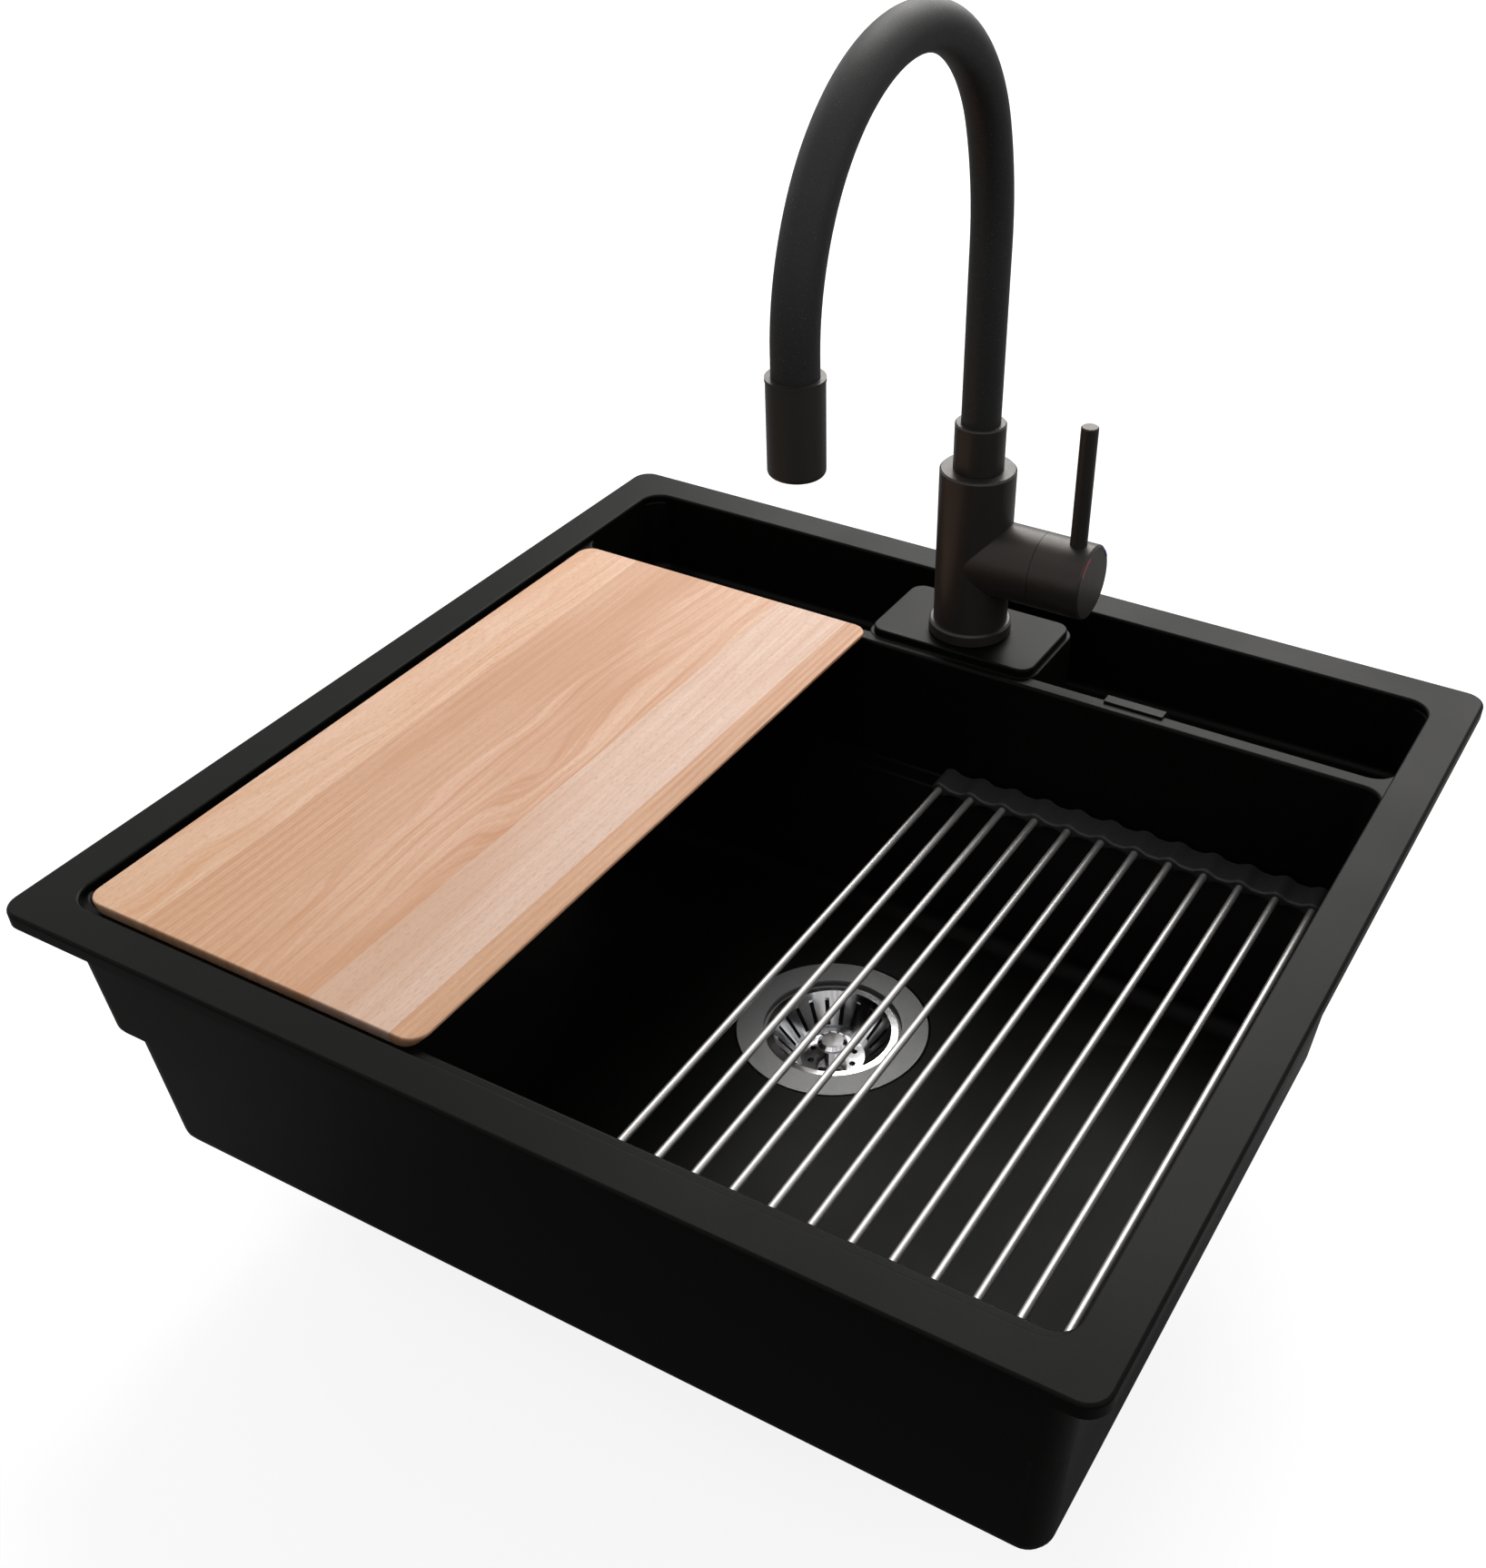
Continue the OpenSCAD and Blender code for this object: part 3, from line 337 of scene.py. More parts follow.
# %% Node groups for grain and lines
moulded_grain, grain_in, grain_out = new_group(
    "moulded_grain", [("Coordinates", None), ("Grain Scale", 900.0), ("Cloud Scale", 14.0)],
    ["Height", "Cloud", "Speck"])
grain_place, grain_scale, cloud_scale = [grain_in.outputs[k] for k in range(3)]
fine_pebble = noise_node(moulded_grain, grain_place, grain_scale, 4.0, 0.6)
slow_cloud = noise_node(moulded_grain, grain_place, cloud_scale, 3.0, 0.5)
speck_scale = math_node(moulded_grain, "MULTIPLY", grain_scale, 1.4)
speck_noise = noise_node(moulded_grain, grain_place, speck_scale, 1.0, 0.4)
moulded_grain.links.new(fine_pebble, grain_out.inputs["Height"])
moulded_grain.links.new(slow_cloud, grain_out.inputs["Cloud"])
moulded_grain.links.new(range_node(moulded_grain, speck_noise, 0.66, 0.74), grain_out.inputs["Speck"])

metal_lines, lines_in, lines_out = new_group(
    "metal_lines", [("Coordinates", None), ("Line Scale", 1.0)], ["Lines", "Stain"])
lines_place, line_scale = [lines_in.outputs[k] for k in range(2)]
line_noise = noise_node(metal_lines, lines_place, line_scale, 5.0, 0.7)
stain_noise = noise_node(metal_lines, lines_place, 2.0, 3.0, 0.6)
metal_lines.links.new(range_node(metal_lines, line_noise, 0.3, 0.7), lines_out.inputs["Lines"])
metal_lines.links.new(range_node(metal_lines, stain_noise, 0.35, 0.7), lines_out.inputs["Stain"])
print("node groups:", [group.name for group in bpy.data.node_groups])

# %% [markdown]
# ## Finishes
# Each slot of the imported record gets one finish. A function per family takes the colour and the
# roughness, and adds grain, cloud or lines, so no surface is one flat value. A table per family
# holds the numbers, which is easier to tune against a photograph than a dozen node trees.

# %% Moulded finishes


def moulded(name, colour, roughness, spread, grain=900.0, depth=0.00004, specular=0.5,
            speck=(0.05, 0.05, 0.05)):
    """Plastic, rubber or stone composite: pebbled, with cloudy gloss and sparse paler grains."""
    material, tree, shader, coordinates = new_material(name, Specular_IOR_Level=specular)
    grain_node = use_group(tree, moulded_grain, coordinates, Grain_Scale=grain)
    tree.links.new(mix_colour(tree, grain_node["Speck"], colour, speck), shader.inputs["Base Color"])
    gloss = range_node(tree, grain_node["Cloud"], 0.3, 0.7, roughness - spread, roughness + spread)
    tree.links.new(gloss, shader.inputs["Roughness"])
    tree.links.new(bump_node(tree, grain_node["Height"], depth), shader.inputs["Normal"])
    return material


# Colour, roughness, its spread, then where it differs: grain scale, grain depth in metres,
# specular level, and the colour of the sparse grains
MOULDED = {
    "composite": ((0.0034, 0.0034, 0.003), 0.38, 0.03, 1500.0, 0.00002, 0.048, (0.012, 0.012, 0.01)),
    "rubber": ((0.012, 0.012, 0.012), 0.75, 0.06, 700.0, 0.00005, 0.3),
    "silicone": ((0.0072, 0.007, 0.0068), 0.6, 0.06, 1100.0, 0.00004, 0.34),
    "rack_silicone": ((0.021, 0.02, 0.021), 0.55, 0.05, 900.0, 0.00004, 0.35),
    "hose_plastic": ((0.05, 0.05, 0.055), 0.5, 0.08, 1200.0, 0.00006),
    "aerator_plastic": ((0.09, 0.09, 0.1), 0.4, 0.05),
    "cover_plastic": ((0.008, 0.008, 0.008), 0.45, 0.06, 1300.0, 0.00003, 0.07),
    "waste_plastic": ((0.01, 0.01, 0.01), 0.5, 0.08, 600.0, 0.00006),
    "cartridge_plastic": ((0.5, 0.5, 0.52), 0.35, 0.05, 900.0, 0.00002, 0.5, (0.45, 0.45, 0.47)),
    "bush_plastic": ((0.72, 0.71, 0.68), 0.4, 0.05, 900.0, 0.00002, 0.5, (0.66, 0.65, 0.62)),
    "red_enamel": ((0.55, 0.012, 0.03), 0.3, 0.05, 1500.0, 0.00001, 0.5, (0.45, 0.01, 0.02)),
    "blue_enamel": ((0.02, 0.06, 0.4), 0.3, 0.05, 1500.0, 0.00001, 0.5, (0.015, 0.05, 0.3)),
}
finishes = {name: moulded(name, *numbers) for name, numbers in MOULDED.items()}
print("moulded finishes:", sorted(finishes))

# %% Metal finishes


def metal(name, colour, worn, roughness, spread, stretch, lines, depth=0.000004, metallic=1.0, specular=0.5):
    """Metal with fine lines; the stretch says along which axis they run."""
    material, tree, shader, coordinates = new_material(name, Metallic=metallic, Specular_IOR_Level=specular)
    lines_node = use_group(tree, metal_lines, stretched(tree, coordinates, stretch), Line_Scale=lines)
    tree.links.new(mix_colour(tree, lines_node["Stain"], colour, worn), shader.inputs["Base Color"])
    gloss = range_node(tree, lines_node["Lines"], 0.0, 1.0, roughness - spread, roughness + spread)
    tree.links.new(gloss, shader.inputs["Roughness"])
    tree.links.new(bump_node(tree, lines_node["Lines"], depth), shader.inputs["Normal"])
    return material


# Colour, worn colour, roughness, its spread, stretch, line scale, then where it differs: line
# depth in metres, metallic share and specular level
METALS = {
    "tap_black": ((0.05, 0.044, 0.04), (0.042, 0.038, 0.035), 0.38, 0.04, (1, 1, 0.05), 260.0,
                  0.000003, 0.35, 0.15),
    "brass": ((0.6, 0.44, 0.2), (0.5, 0.36, 0.16), 0.3, 0.08, (1, 1, 12), 60.0),
    "steel": ((0.55, 0.55, 0.56), (0.46, 0.46, 0.47), 0.32, 0.08, (12, 12, 1), 60.0),
    "screw_steel": ((0.42, 0.42, 0.43), (0.33, 0.33, 0.34), 0.34, 0.08, (1, 1, 12), 80.0),
    "rod_steel": ((0.44, 0.43, 0.42), (0.37, 0.36, 0.35), 0.4, 0.06, (60, 1, 60), 30.0, 0.000004, 0.72),
    "bright_steel": ((0.7, 0.7, 0.71), (0.6, 0.6, 0.61), 0.14, 0.05, (1, 1, 1), 60.0),
    "brushed_flange": ((0.2, 0.2, 0.2), (0.15, 0.15, 0.15), 0.5, 0.1, (1, 1, 1), 900.0, 0.00004, 0.8),
}
finishes.update({name: metal(name, *numbers) for name, numbers in METALS.items()})
print("all finishes:", len(finishes))

# %% [markdown]
# ## The beech board's wood
# The real board is glued from five staves of beech, whose growth rings run along Y. A stepped ramp
# across X picks each stave's pale tone, a second one its dark tone, and a third says how wide,
# how wandering and how strong its rings are. A band pattern mixes the two tones, cloudy heartwood
# and a warmer front left end lie over it, and short fine strokes are the wood's pores and rays.

# %% The figure of wood
RING_WAVES = ((1.0, 0.45), (2.7, 0.33), (7.3, 0.22))
wood_figure, figure_in, figure_out = new_group(
    "wood_figure", [("Coordinates", None), ("Ring Pitch", 0.006), ("Wander", 0.01)],
    ["Rings", "Fibre", "Rays"])
wood_place, ring_pitch, ring_wander = [figure_in.outputs[k] for k in range(3)]
wander_noise = noise_node(wood_figure, stretched(wood_figure, wood_place, (17, 3.4, 17)), 1.0, 2.5, 0.5)
wander_by = math_node(wood_figure, "MULTIPLY", wander_noise, ring_wander)
split = wood_figure.nodes.new("ShaderNodeSeparateXYZ")
wood_figure.links.new(wood_place, split.inputs[0])
ring_place = math_node(wood_figure, "ADD", split.outputs["X"], wander_by)
ring_turns = math_node(wood_figure, "DIVIDE", ring_place, ring_pitch)
waves = []
for per_ring, weight in RING_WAVES:
    wave_angle = math_node(wood_figure, "MULTIPLY", ring_turns, 2 * math.pi * per_ring)
    wave = math_node(wood_figure, "SINE", wave_angle)
    waves.append(range_node(wood_figure, wave, -1.0, 1.0, 0.0, weight))
ring_sum = math_node(wood_figure, "ADD", math_node(wood_figure, "ADD", *waves[:2]), waves[2])
wood_figure.links.new(range_node(wood_figure, ring_sum, 0.2, 0.95), figure_out.inputs["Rings"])
fibre_place = stretched(wood_figure, wood_place, (1, 0.025, 0.3))
fibre_noise = noise_node(wood_figure, fibre_place, 700.0, 4.0, 0.65)
wood_figure.links.new(range_node(wood_figure, fibre_noise, 0.3, 0.7), figure_out.inputs["Fibre"])
ray_noise = noise_node(wood_figure, stretched(wood_figure, wood_place, (1, 0.14, 1)), 1700.0, 1.0, 0.4)
wood_figure.links.new(range_node(wood_figure, ray_noise, 0.54, 0.68), figure_out.inputs["Rays"])
print("waves in the rings:", len(waves))

# %% The beech finish
# For each stave: where it starts across the board, its pale and its dark tone, and its ring
# pitch and wander in metres with the strength of its rings
STAVES = [
    (0.0, (0.76, 0.52, 0.38), (0.56, 0.265, 0.12), (0.017, 0.13, 0.8)),
    (0.19, (0.68, 0.415, 0.28), (0.48, 0.23, 0.11), (0.0062, 0.02, 0.7)),
    (0.436, (0.72, 0.47, 0.335), (0.49, 0.215, 0.095), (0.0125, 0.085, 0.85)),
    (0.697, (0.73, 0.53, 0.43), (0.55, 0.32, 0.205), (0.0105, 0.035, 0.6)),
    (0.924, (0.68, 0.4, 0.245), (0.38, 0.15, 0.06), (0.0044, 0.012, 1.0)),
]
PALE, DARK, GROWTH = 1, 2, 3
WARM_WOOD, RAY_BROWN = (0.64, 0.34, 0.14), (0.45, 0.24, 0.13)
board_low, board_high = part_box("cutting_board")


def stave_ramp(tree, across, column):
    """A stepped ramp that gives each stave its own colour, from the left edge to the right."""
    ramp = tree.nodes.new("ShaderNodeValToRGB")
    ramp.color_ramp.interpolation = "CONSTANT"
    while len(ramp.color_ramp.elements) < len(STAVES):
        ramp.color_ramp.elements.new(0.5)
    for element, stave in zip(ramp.color_ramp.elements, STAVES):
        element.position = stave[0]
        element.color = (*stave[column], 1)
    tree.links.new(across, ramp.inputs["Fac"])
    return ramp.outputs["Color"]


beech, beech_tree, beech_shader, beech_place = new_material("beech", Specular_IOR_Level=0.35)
beech_split = beech_tree.nodes.new("ShaderNodeSeparateXYZ")
beech_tree.links.new(beech_place, beech_split.inputs[0])
beech_x, beech_y = beech_split.outputs["X"], beech_split.outputs["Y"]
across = range_node(beech_tree, beech_x, board_low.x, board_high.x)
pale = stave_ramp(beech_tree, across, PALE)
dark = stave_ramp(beech_tree, across, DARK)
growth_split = beech_tree.nodes.new("ShaderNodeSeparateColor")
beech_tree.links.new(stave_ramp(beech_tree, across, GROWTH), growth_split.inputs[0])
stave_pitch, stave_wander, stave_strength = [growth_split.outputs[k] for k in range(3)]
figure = use_group(beech_tree, wood_figure, beech_place, Ring_Pitch=stave_pitch, Wander=stave_wander)
broad = noise_node(beech_tree, stretched(beech_tree, beech_place, (22, 4, 22)), 1.0, 4.0, 0.6)
ring_fade = range_node(beech_tree, broad, 0.38, 0.62, 0.25, 1.0)
ring_share = math_node(beech_tree, "MULTIPLY", stave_strength, ring_fade)
ring_mask = math_node(beech_tree, "MULTIPLY", figure["Rings"], ring_share)
wood_colour = mix_colour(beech_tree, ring_mask, pale, dark)
heart_place = stretched(beech_tree, beech_place, (14, 2.6, 14), (3.1, 0.7, 0))
heart = noise_node(beech_tree, heart_place, 1.0, 3.0, 0.55)
heart_mask = range_node(beech_tree, heart, 0.48, 0.64, 0.0, 0.6)
wood_colour = mix_colour(beech_tree, heart_mask, wood_colour, dark)
fibre_mask = math_node(beech_tree, "MULTIPLY", figure["Fibre"], 0.36)
wood_colour = mix_colour(beech_tree, fibre_mask, wood_colour, dark)
to_front = range_node(beech_tree, beech_y, board_low.y + 0.14, board_low.y, 0.0, 0.22)
to_left = range_node(beech_tree, beech_x, board_high.x - 0.04, board_low.x + 0.06, 0.15, 1.0)
warm_mask = math_node(beech_tree, "MULTIPLY", to_front, to_left)
wood_colour = mix_colour(beech_tree, warm_mask, wood_colour, WARM_WOOD)
ray_mask = math_node(beech_tree, "MULTIPLY", figure["Rays"], 0.36)
wood_colour = mix_colour(beech_tree, ray_mask, wood_colour, RAY_BROWN)
beech_gloss = range_node(beech_tree, figure["Fibre"], 0, 1, 0.5, 0.62)
beech_tree.links.new(wood_colour, beech_shader.inputs["Base Color"])
beech_tree.links.new(beech_gloss, beech_shader.inputs["Roughness"])
beech_tree.links.new(bump_node(beech_tree, figure["Fibre"], 0.00003), beech_shader.inputs["Normal"])
finishes["beech"] = beech
print("board width in mm:", round((board_high.x - board_low.x) / MM))

# %% [markdown]
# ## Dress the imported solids
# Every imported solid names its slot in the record, so one loop gives each of them its finish.

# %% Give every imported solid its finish
slot_of = {part["node"]: part["material_slot"] for part in frame["record"]["subparts"]}
for name, solid in nodes.items():
    solid.data.materials.clear()
    solid.data.materials.append(finishes[slot_of[name]])
print("dressed:", len(slot_of), "solids")

# %% [markdown]
# ## Tools for new pieces
# A moulded bowl is a stack of rounded rectangles: each level has a plan, a corner radius and a
# height. It could also be a box with bevelled edges, but a bevel can't round a corner of 12 mm
# and an edge of 2 mm where they meet. So one square face has its corners bevelled, the face is
# extruded level by level, and each new loop is laid on its own plan. Hollows are stacks too,
# taken away with a boolean cut.

# %% Stack of rounded rectangles
CORNER_STEPS = 8
EDGE = 2.0
FLARE, FLARE_STEPS = math.radians(82), 5
CAP_IN, CAP_R = 12, 6.0


def drawn_in(plan, by_x, by_y=None):
    """A plan [left, right, front, back] drawn in at the sides, and at the front and back."""
    by_y = by_x if by_y is None else by_y
    return [plan[0] + by_x, plan[1] - by_x, plan[2] + by_y, plan[3] - by_y]


def corner_centre(plan, radius, vert, old_plan):
    """The centre of the round corner that a point of the loop belongs to."""
    left = vert.co.x < (old_plan[0] + old_plan[1]) / 2
    front = vert.co.y < (old_plan[2] + old_plan[3]) / 2
    x = plan[0] + radius if left else plan[1] - radius
    y = plan[2] + radius if front else plan[3] - radius
    return Vector((x, y, 0))


def first_face(parts):
    """The first face among the parts that an operator made."""
    return next(part for part in parts if isinstance(part, bmesh.types.BMFace))


def quarter(steps):
    """The angles of a quarter turn, from none to full."""
    return [math.pi / 2 * k / steps for k in range(steps + 1)]


def close(bm):
    """Fills the open rims of a mesh with flat faces and turns all faces outwards."""
    bmesh.ops.holes_fill(bm, edges=[edge for edge in bm.edges if edge.is_boundary], sides=0)
    bmesh.ops.recalc_face_normals(bm, faces=bm.faces)


def stack(levels):
    """A closed block through rounded rectangles; each level is (plan, corner radius, height), in mm."""
    bm = bmesh.new()
    plan, radius, height = levels[0]
    bm.faces.new([bm.verts.new((plan[i], plan[j], height)) for i, j in ((0, 2), (1, 2), (1, 3), (0, 3))])
    bmesh.ops.bevel(bm, geom=bm.verts[:], offset=radius, offset_type="OFFSET", affect="VERTICES",
                    segments=CORNER_STEPS, profile=0.5, material=-1)
    face = bm.faces[:][0]
    for old, new in zip(levels, levels[1:]):
        grown = bmesh.ops.extrude_face_region(bm, geom=[face])["geom"]
        if face.is_valid:
            bm.faces.remove(face)
        face = first_face(grown)
        for vert in face.verts:
            outward = vert.co - corner_centre(old[0], old[1], vert, old[0])
            outward = Vector((outward.x, outward.y, 0)).normalized()
            centre = corner_centre(new[0], new[1], vert, old[0])
            vert.co = (centre.x + outward.x * new[1], centre.y + outward.y * new[1], new[2])
    close(bm)
    return bm


def foot_round(plan, corner, height, radius, steps=5):
    """Levels of a rounded foot, from the flat bottom up to the wall."""
    return [(drawn_in(plan, radius * (1 - math.sin(t))), corner - radius * (1 - math.sin(t)),
             height + radius * (1 - math.cos(t))) for t in quarter(steps)]


def head_round(plan, corner, height, radius, steps=4):
    """Levels of a rounded top edge, from the wall up to the flat top."""
    return [(drawn_in(plan, radius * (1 - math.cos(t))), corner - radius * (1 - math.cos(t)),
             height - radius * (1 - math.sin(t))) for t in quarter(steps)]


def flared_mouth(plan, corner, height, radius):
    """Levels of a cutter's mouth that leaves a rounded edge in the face it cuts at this height."""
    turns = [FLARE * k / FLARE_STEPS for k in range(FLARE_STEPS + 1)]
    levels = [(drawn_in(plan, -radius * (1 - math.cos(t))), corner + radius * (1 - math.cos(t)),
               height - radius * (1 - math.sin(t))) for t in turns]
    past = radius * 1.1
    return levels + [(drawn_in(plan, -past), corner + past, height + 0.6)]


def hollow(foot_levels, mouth, corner, height, cap_height):
    """A cutter: a rounded foot, a flared mouth at a height, and a small cap that closes it above."""
    cap = [(drawn_in(mouth, CAP_IN), CAP_R, cap_height)]
    return stack(foot_levels + flared_mouth(mouth, corner, height, EDGE) + cap)


def clip(bm, point, outward):
    """Cuts off what lies past a plane and closes the cut."""
    geometry = bm.verts[:] + bm.edges[:] + bm.faces[:]
    bmesh.ops.bisect_plane(bm, geom=geometry, plane_co=point, plane_no=outward, clear_outer=True)
    close(bm)


def to_object(bm, name):
    """Makes an object of a mesh that was built in mm."""
    bmesh.ops.scale(bm, vec=(MM, MM, MM), verts=bm.verts)
    mesh = bpy.data.meshes.new(name)
    bm.to_mesh(mesh)
    bm.free()
    obj = bpy.data.objects.new(name, mesh)
    bpy.context.scene.collection.objects.link(obj)
    return obj


def settle(obj):
    """Applies the modifiers to the object's mesh."""
    bpy.context.view_layer.update()
    evaluated = obj.evaluated_get(bpy.context.evaluated_depsgraph_get())
    mesh = bpy.data.meshes.new_from_object(evaluated)
    obj.modifiers.clear()
    old = obj.data
    obj.data = mesh
    bpy.data.meshes.remove(old)


def combine(obj, bm, operation="DIFFERENCE"):
    """Cuts a tool out of the object, or joins it on, and throws the tool away."""
    tool = to_object(bm, "tool")
    modifier = obj.modifiers.new("combine", "BOOLEAN")
    modifier.operation = operation
    modifier.solver = "EXACT"
    modifier.object = tool
    settle(obj)
    bpy.data.objects.remove(tool)


def finish_piece(obj, body, slot, *replaced, angle=32, weighted=True):
    """Smooth shading up to an angle, a finish, a body to ride on, and the solids it stands for."""
    obj.data.materials.clear()
    obj.data.materials.append(finishes[slot])
    obj.data.shade_smooth()
    obj.data.set_sharp_from_angle(angle=math.radians(angle))
    if weighted:
        modifier = obj.modifiers.new("even_shading", "WEIGHTED_NORMAL")
        modifier.keep_sharp = True
        modifier.weight = 80
    if replaced:
        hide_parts(*replaced)
    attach(obj, body)
    low = [round(min(v.co[i] for v in obj.data.vertices) / MM, 1) for i in range(3)]
    high = [round(max(v.co[i] for v in obj.data.vertices) / MM, 1) for i in range(3)]
    print(obj.name, "faces", len(obj.data.polygons), "from", low, "to", high)


print("stack tools ready")

# %% [markdown]
# ## The moulded bowl
# The real bowl is cast in one piece, so all its edges are softly rounded. It could be modelled as
# one surface, but it is easier in the order of its mould: the outside as joined stacks, then the
# shallow recess, the upper and lower bowl and the tray as flared cutters. A flared mouth leaves
# each edge rounded. Where a side is flush with the wall above, the flare is clipped off.

# %% Sizes of the bowl
# Plans are [left, right, front, back] in mm; a TOP and a FOOT differ by the draft of the mould
RIM = [-295.0, 295.0, -280.0, 280.0]
OPENING = [-270.0, 270.0, -257.5, 255.0]
DECK, LEDGE, RACK_LEDGE, BOTTOM = 9.0, 4.5, -72.0, -157.5
UPPER_TOP = [-269.95, 269.95, -250.0, 163.5]
UPPER_FOOT = [-266.56, 266.56, -246.56, 157.0]
LOWER_TOP = [-248.56, 266.5, -233.06, 143.5]
LOWER_FOOT = [-245.1, 263.1, -229.6, 113.0]
FLOOR_EDGE, FLOOR_DRAIN = -149.0, -152.0
DRAIN = (19.0, 0.0)
TRAY_TOP = [-269.95, 269.95, 174.5, 254.95]
TRAY_FOOT = [-267.0, 267.0, 175.0, 252.0]
TRAY_FLOOR, TRAY_UNDER = -43.0, -51.5
PLATFORM = [-53.5, 53.5, 171.0, 234.0]
PLATFORM_R, PLATFORM_FOOT, SKIRT = 9.0, 2.5, 6.0
TAP_Y = 201.0
# Corner radii of the rim, of the shell, opening and tray, of the bowls, and of the lower bowl's foot
RIM_R, WIDE_R, BOWL_R, LOWER_R = 12.0, 14, 12, 12.5
RIM_FOOT = 0.8
# The outer shell's blocks: foot plan, foot height, foot radius, top plan, top height
SHELLS = [
    ([-275.06, 275.06, -258.06, 165.5], -80.5, 6, [-279.0, 279.0, -262.0, 170.0], 1.0),
    ([-253.6, 271.6, -254.06, 121.5], BOTTOM, 12, [-257.06, 275.0, -258.0, 152.0], -74.0),
    ([-275.5, 275.5, 158.0, 261.5], TRAY_UNDER, 6, [-277.5, 277.5, 158.0, 264.0], 1.2),
]
BOSS_FOOT_R, BOSS_TOP_R, BOSS_H, BOSS_Z = 60, 72, 12, -154.5
DRAIN_SEGMENTS = 96

# %% Outside of the bowl
rim_foot = (drawn_in(RIM, RIM_FOOT), RIM_R - RIM_FOOT, 0.0)
rim_block = stack([rim_foot, (RIM, RIM_R, RIM_FOOT)] + head_round(RIM, RIM_R, DECK, EDGE))
bowl = to_object(rim_block, "sink_moulding")
for foot, foot_z, foot_radius, top_plan, top_z in SHELLS:
    block = foot_round(foot, WIDE_R, foot_z, foot_radius) + [(top_plan, WIDE_R, top_z)]
    combine(bowl, stack(block), "UNION")
drain_boss = bmesh.new()
bmesh.ops.create_cone(drain_boss, cap_ends=True, segments=DRAIN_SEGMENTS, radius1=BOSS_FOOT_R,
                      radius2=BOSS_TOP_R, depth=BOSS_H)
bmesh.ops.translate(drain_boss, verts=drain_boss.verts, vec=(*DRAIN, BOSS_Z))
combine(bowl, drain_boss, "UNION")
print("outside faces:", len(bowl.data.polygons))

# %% Recess, upper bowl and tray
RECESS_EDGE = 1.6
# Where the flares end, a hair inside the opening's sides and its back
FLUSH_X, FLUSH_BACK, FLUSH_LOWER = 269.98, 254.98, 266.54
recess = stack([(OPENING, WIDE_R, LEDGE)] + flared_mouth(OPENING, WIDE_R, DECK, RECESS_EDGE))
combine(bowl, recess)
upper_hollow = hollow(foot_round(UPPER_FOOT, BOWL_R, RACK_LEDGE, 2, 3), UPPER_TOP, BOWL_R, LEDGE, DECK)
tray_hollow = hollow(foot_round(TRAY_FOOT, WIDE_R, TRAY_FLOOR, 5), TRAY_TOP, WIDE_R, LEDGE, DECK)
for cutter in (upper_hollow, tray_hollow):
    for way in (1, -1):
        clip(cutter, (way * FLUSH_X, 0, 0), (way, 0, 0))
clip(tray_hollow, (0, FLUSH_BACK, 0), (0, 1, 0))
combine(bowl, upper_hollow)
combine(bowl, tray_hollow)
print("faces with recess and tray:", len(bowl.data.polygons))

# %% [markdown]
# The lower bowl's floor falls gently to the drain. A second cutter could do that, but its edge
# would show. So this cutter has its floor face removed and bridged to a circle round the drain,
# which goes on down as the recess of the strainer flange.

# %% Lower bowl and drain
# The rings round the drain: radius and height
DRAIN_RINGS = ((58.0, FLOOR_DRAIN), (57.5, -152.4), (57.5, -155.0), (45.0, -155.0), (45.0, -164.0))
lower_foot = foot_round(LOWER_FOOT, LOWER_R, FLOOR_EDGE, 12, 6)
lower_hollow = hollow(lower_foot, LOWER_TOP, BOWL_R, RACK_LEDGE, RACK_LEDGE + 6)
clip(lower_hollow, (FLUSH_LOWER, 0, 0), (1, 0, 0))
lowest = min(lower_hollow.faces, key=lambda f: f.calc_center_median().z)
floor_loop = lowest.edges[:]
bmesh.ops.delete(lower_hollow, geom=[lowest], context="FACES_ONLY")


def drain_ring(bm, radius, height):
    """A ring of edges round the drain."""
    ring = bmesh.ops.create_circle(bm, cap_ends=False, segments=DRAIN_SEGMENTS, radius=radius)["verts"]
    bmesh.ops.translate(bm, verts=ring, vec=(*DRAIN, height))
    return list({edge for vert in ring for edge in vert.link_edges})


rings = [drain_ring(lower_hollow, radius, height) for radius, height in DRAIN_RINGS]
bmesh.ops.bridge_loops(lower_hollow, edges=floor_loop + rings[0])
for outer_ring, inner_ring in zip(rings, rings[1:]):
    bmesh.ops.bridge_loops(lower_hollow, edges=outer_ring + inner_ring)
close(lower_hollow)
combine(bowl, lower_hollow)
print("faces with lower bowl:", len(bowl.data.polygons))

# %% [markdown]
# The tap stands on a raised block in the tray. Its foot runs out into the tray's floor in a hollow
# curve, as a casting's does, and from below it is hollow for the fixing nut.

# %% Tap platform and holes
FILLET, FILLET_STEPS, SHANK_R = 4, 4, 17.5
PLATFORM_HEAD, HEAD_EDGE, HEAD_STEPS = 4.9, 1.0, 3
OVERFLOW_X, OVERFLOW_R = 120.0, 9.0
foot_plan = drawn_in(PLATFORM, -PLATFORM_FOOT)
foot_r = PLATFORM_R + PLATFORM_FOOT


def fillet_level(turn):
    """One level of the hollow curve between the tray's floor and the platform's foot."""
    out = FILLET * (1 - math.sin(turn))
    return drawn_in(foot_plan, -out), foot_r + out, TRAY_FLOOR - 0.5 + FILLET * (1 - math.cos(turn))


